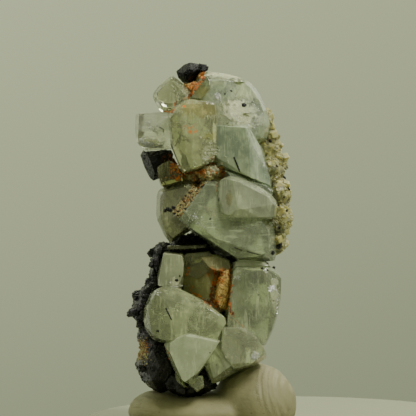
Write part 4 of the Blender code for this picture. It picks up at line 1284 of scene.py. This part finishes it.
class SpecimenGrowSchorl(bpy.types.Operator):
    """Give the black schorl its finish and its small crystals."""

    bl_idname = "specimen.grow_schorl"
    bl_label = "Black schorl"

    def execute(self, context):
        chosen = settings()
        finish = schorl_finish("schorl_black", (), 0.5, 0.14)
        granular = schorl_finish(
            "schorl_granular", (), 3.5, 0.34, [((-3.0, -2.0, 3.4), (6.5, 8.0, 4.2), 1.0)],
            [((-6.7, -1.8, 6.9), (1.3, 2.2, 1.3), 1.0)],
        )
        rusty = schorl_finish("schorl_rusty", [((-3.7, -2.8, 25.4), (0.9, 2.8, 1.4), 1.0)], 0.6, 0.16)
        for node in ("schorl_crown", "schorl_knob"):
            dressed = frame["nodes"][node]
            dressed.data.materials.clear()
            dressed.data.materials.append(rusty if node == "schorl_knob" else finish)
        shapes = [prism_template(seed) for seed in range(2)] + [rock_template(seed) for seed in range(6)]
        grain = chosen.schorl_grain / MM
        body = drawn_in("schorl_mass", *SCHORL_WAIST)
        places = surface_places(
            body, chosen.schorl_count // 4, 15, grain * 1.9,
            lambda spot, way: spot[2] > 5.5 and (spot[0] < -4.6 or spot[1] > 1.5), 0.62, 0.5,
        )
        places += surface_places(
            body, chosen.schorl_count, 5, grain,
            lambda spot, way: spot[2] > 4.6 or way[1] > -0.2, 0.32, 0.5,
        )
        places += surface_places(
            body, 170, 25, grain * 2.6,
            lambda spot, way: 2.9 < spot[2] < 7.0 and way[1] < 0.2 and spot[0] < -1.5, 0.62, 0.6,
        )
        mesh_piece("schorl_mass_body", body, granular, "schorl_black", "schorl_mass")
        mesh = repeated("schorl_mass_grains", shapes, places)
        mesh_piece("schorl_mass_grains", mesh, granular, "schorl_black")
        for node, count in (("schorl_crown", 260), ("schorl_knob", 420)):
            source = frame["nodes"][node].data
            places = surface_places(source, count, 6, grain * 0.7, lambda spot, way: True, 0.4, 0.5)
            mesh = repeated(node + "_grains", shapes, places)
            mesh_piece(node + "_grains", mesh, rusty if node == "schorl_knob" else finish, "schorl_black")
        return {"FINISHED"}


class SpecimenGrowCrust(bpy.types.Operator):
    """Cover the pale crust with fluorite grains."""

    bl_idname = "specimen.grow_crust"
    bl_label = "Fluorite crust"

    def execute(self, context):
        chosen = settings()
        finish = fluorite_finish("fluorite_pale")
        dressed = frame["nodes"]["fluorite_crust"]
        dressed.data.materials.clear()
        dressed.data.materials.append(finish)
        shapes = [rock_template(seed, 0.9, 0.08) for seed in range(20, 30)]
        places = surface_places(
            dressed.data, chosen.fluorite_count, 8, chosen.fluorite_grain / MM, lambda spot, way: True, 0.2, 0.7,
        )
        places += surface_places(
            dressed.data, chosen.fluorite_count // 4, 18, chosen.fluorite_grain / MM * 1.6,
            lambda spot, way: True, 0.40, 0.7,
        )
        places += surface_places(
            dressed.data, chosen.fluorite_count // 4, 28, chosen.fluorite_grain / MM * 1.7,
            lambda spot, way: abs(way[2]) > 0.55, 0.10, 0.7,
        )
        mesh_piece("fluorite_grains", repeated("fluorite_grains", shapes, places), finish, "fluorite_pale")
        return {"FINISHED"}


class SpecimenStainFeldspar(bpy.types.Operator):
    """Finish the rust-stained feldspar in the seams and hollows."""

    bl_idname = "specimen.stain_feldspar"
    bl_label = "Stained feldspar"

    def execute(self, context):
        finishes = {
            "feldspar_wedge": feldspar_finish("feldspar_wedge", 0.28),
            "feldspar_collar": feldspar_finish("feldspar_collar", 0.45),
            "feldspar_seam": feldspar_finish("feldspar_seam", 0.2, True),
        }
        shapes = [rock_template(seed) for seed in range(40, 48)]
        for node, count in (("feldspar_wedge", 500), ("feldspar_collar", 260), ("feldspar_seam", 500)):
            dressed = frame["nodes"][node]
            dressed.data.materials.clear()
            dressed.data.materials.append(finishes[node])
            places = surface_places(dressed.data, count, 9, 0.24, lambda spot, way: True, 0.2)
            grains = repeated(node + "_grains", shapes, places)
            mesh_piece(node + "_grains", grains, finishes[node], "feldspar_stained")
        return {"FINISHED"}


class SpecimenPressPutty(bpy.types.Operator):
    """Press the mounting putty smooth under the specimen."""

    bl_idname = "specimen.press_putty"
    bl_label = "Mounting putty"

    def execute(self, context):
        solid = bmesh.new()
        solid.from_mesh(frame["nodes"]["mounting_putty"].data)
        bmesh.ops.remove_doubles(solid, verts=solid.verts, dist=1e-6)
        mesh = bpy.data.meshes.new("putty_lump")
        solid.to_mesh(mesh)
        solid.free()
        rough = bpy.data.objects.new("putty_rough", mesh)
        context.scene.collection.objects.link(rough)
        remesh = rough.modifiers.new("remesh", "REMESH")
        remesh.mode = "VOXEL"
        remesh.voxel_size = 0.25 * MM
        smooth = rough.modifiers.new("smooth", "SMOOTH")
        smooth.factor = 0.5
        smooth.iterations = 14
        context.view_layer.update()
        shape = bpy.data.meshes.new_from_object(rough.evaluated_get(context.evaluated_depsgraph_get()))
        bpy.data.objects.remove(rough, do_unlink=True)
        for vert in shape.vertices:
            vert.co.z = max(vert.co.z, 0.0)
        shape.shade_smooth()
        mesh_piece("putty_lump", shape, putty_finish("putty_beige"), "putty_beige", "mounting_putty")
        return {"FINISHED"}


def set_backdrop(scene, colour):
    """A plain backdrop: brighter at its top, and dimmer on the studio's other sides."""
    world = bpy.data.worlds.new("studio")
    scene.world = world
    world.use_nodes = True
    tree = world.node_tree
    back = tree.nodes["Background"]
    way = tree.nodes.new("ShaderNodeTexCoord").outputs["Generated"]
    parts = tree.nodes.new("ShaderNodeSeparateXYZ")
    tree.links.new(way, parts.inputs["Vector"])

    def ramp(source, low, high, to_low, to_high):
        made = tree.nodes.new("ShaderNodeMapRange")
        made.interpolation_type = "SMOOTHSTEP" if to_low < 0.7 else "LINEAR"
        tree.links.new(source, made.inputs["Value"])
        for socket, number in zip(("From Min", "From Max", "To Min", "To Max"), (low, high, to_low, to_high)):
            made.inputs[socket].default_value = number
        return made.outputs["Result"]

    def times(one, two):
        made = tree.nodes.new("ShaderNodeMath")
        made.operation = "MULTIPLY"
        tree.links.new(one, made.inputs[0])
        tree.links.new(two, made.inputs[1])
        return made.outputs[0]

    rise = ramp(parts.outputs["Z"], -0.054, 0.030, 0.76, 1.22)
    across = ramp(parts.outputs["X"], -0.042, 0.042, 1.06, 0.92)
    around = ramp(parts.outputs["Y"], 0.30, 0.92, 0.68, 1.0)
    tree.links.new(times(times(rise, across), around), back.inputs["Strength"])
    back.inputs["Color"].default_value = (*colour, 1.0)


class SpecimenSetStage(bpy.types.Operator):
    """Set the pale floor, the soft studio lights and the camera."""

    bl_idname = "specimen.set_stage"
    bl_label = "Stage"

    def execute(self, context):
        chosen = settings()
        solid = bmesh.new()
        bmesh.ops.create_cone(
            solid, cap_ends=True, segments=128, radius1=48.0 * MM, radius2=48.0 * MM, depth=4.0 * MM,
            matrix=Matrix.Translation((8.0 * MM, 0.0, -2.0 * MM)) @ Matrix.Diagonal((0.43, 0.92, 1.0, 1.0)),
        )
        rim = [e for e in solid.edges if e.calc_face_angle(0.0) > math.radians(60.0)]
        bmesh.ops.bevel(
            solid, geom=rim, offset=0.6 * MM, offset_type="OFFSET", segments=3, profile=0.5,
            affect="EDGES", clamp_overlap=True, material=-1,
        )
        mesh = bpy.data.meshes.new("floor")
        solid.to_mesh(mesh)
        solid.free()
        floor = bpy.data.objects.new("floor", mesh)
        context.scene.collection.objects.link(floor)
        made = Finish("floor_pale")
        base = tuple(chosen.floor_colour)
        made.link(
            made.blend(made.noise(0.15, 3.0), base, tuple(0.94 * c for c in base)), made.shader.inputs["Base Color"]
        )
        made.shader.inputs["Roughness"].default_value = 0.5
        mesh.materials.append(made.material)

        set_backdrop(context.scene, tuple(chosen.backdrop_colour))
        for name, spot, power, size in (
            ("key", (0.17, -0.16, 0.28), 1.05, 0.12),
            ("fill", (-0.25, 0.10, 0.08), 0.32, 0.44),
            ("top", (0.08, 0.10, 0.30), 0.60, 0.12),
            ("rim", (0.16, 0.24, 0.16), 0.06, 0.20),
        ):
            light = bpy.data.lights.new(name, "AREA")
            light.energy = power
            light.size = size
            light.color = (1.0, 0.99, 0.92)
            lamp = bpy.data.objects.new(name, light)
            lamp.location = spot
            aim = Vector((0.0, 0.0, 0.018)) - lamp.location
            lamp.rotation_euler = aim.to_track_quat("-Z", "Y").to_euler()
            context.scene.collection.objects.link(lamp)

        lens = bpy.data.cameras.new("photograph")
        camera = bpy.data.objects.new("photograph", lens)
        context.scene.collection.objects.link(camera)
        target = Vector((0.0, -0.004, 0.0212))
        distance = 0.5
        rise = math.radians(0.7)
        camera.location = target + distance * Vector((0.0, -math.cos(rise), math.sin(rise)))
        camera.rotation_euler = (target - camera.location).to_track_quat("-Z", "Y").to_euler()
        lens.sensor_width = 36.0
        lens.lens = 36.0 * distance / 0.0416
        lens.clip_start = 0.01
        lens.clip_end = 10.0
        context.scene.camera = camera
        return {"FINISHED"}


class SpecimenPanel(bpy.types.Panel):
    """Lists the settings and the steps."""

    bl_idname = "VIEW3D_PT_specimen"
    bl_label = "Aquamarine Specimen"
    bl_space_type = "VIEW_3D"
    bl_region_type = "UI"
    bl_category = "Specimen"

    def draw(self, context):
        for name in SpecimenSettings.__annotations__:
            self.layout.prop(settings(), name)
        for step in STEPS:
            self.layout.operator(step.bl_idname)


STEPS = (
    SpecimenGrowCrystals,
    SpecimenHealCracks,
    SpecimenGrowSchorl,
    SpecimenGrowCrust,
    SpecimenStainFeldspar,
    SpecimenPlaceInclusions,
    SpecimenPressPutty,
    SpecimenSetStage,
)
CLASSES = (SpecimenSettings, *STEPS, SpecimenPanel)


def register():
    for each in CLASSES:
        bpy.utils.register_class(each)
    bpy.types.Scene.specimen_settings = PointerProperty(type=SpecimenSettings)


def unregister():
    del bpy.types.Scene.specimen_settings
    for each in reversed(CLASSES):
        bpy.utils.unregister_class(each)


def main():
    register()
    bpy.ops.specimen.grow_crystals()
    bpy.ops.specimen.heal_cracks()
    bpy.ops.specimen.grow_schorl()
    bpy.ops.specimen.grow_crust()
    bpy.ops.specimen.stain_feldspar()
    bpy.ops.specimen.place_inclusions()
    bpy.ops.specimen.press_putty()
    bpy.ops.specimen.set_stage()


if __name__ == "__main__":
    main()
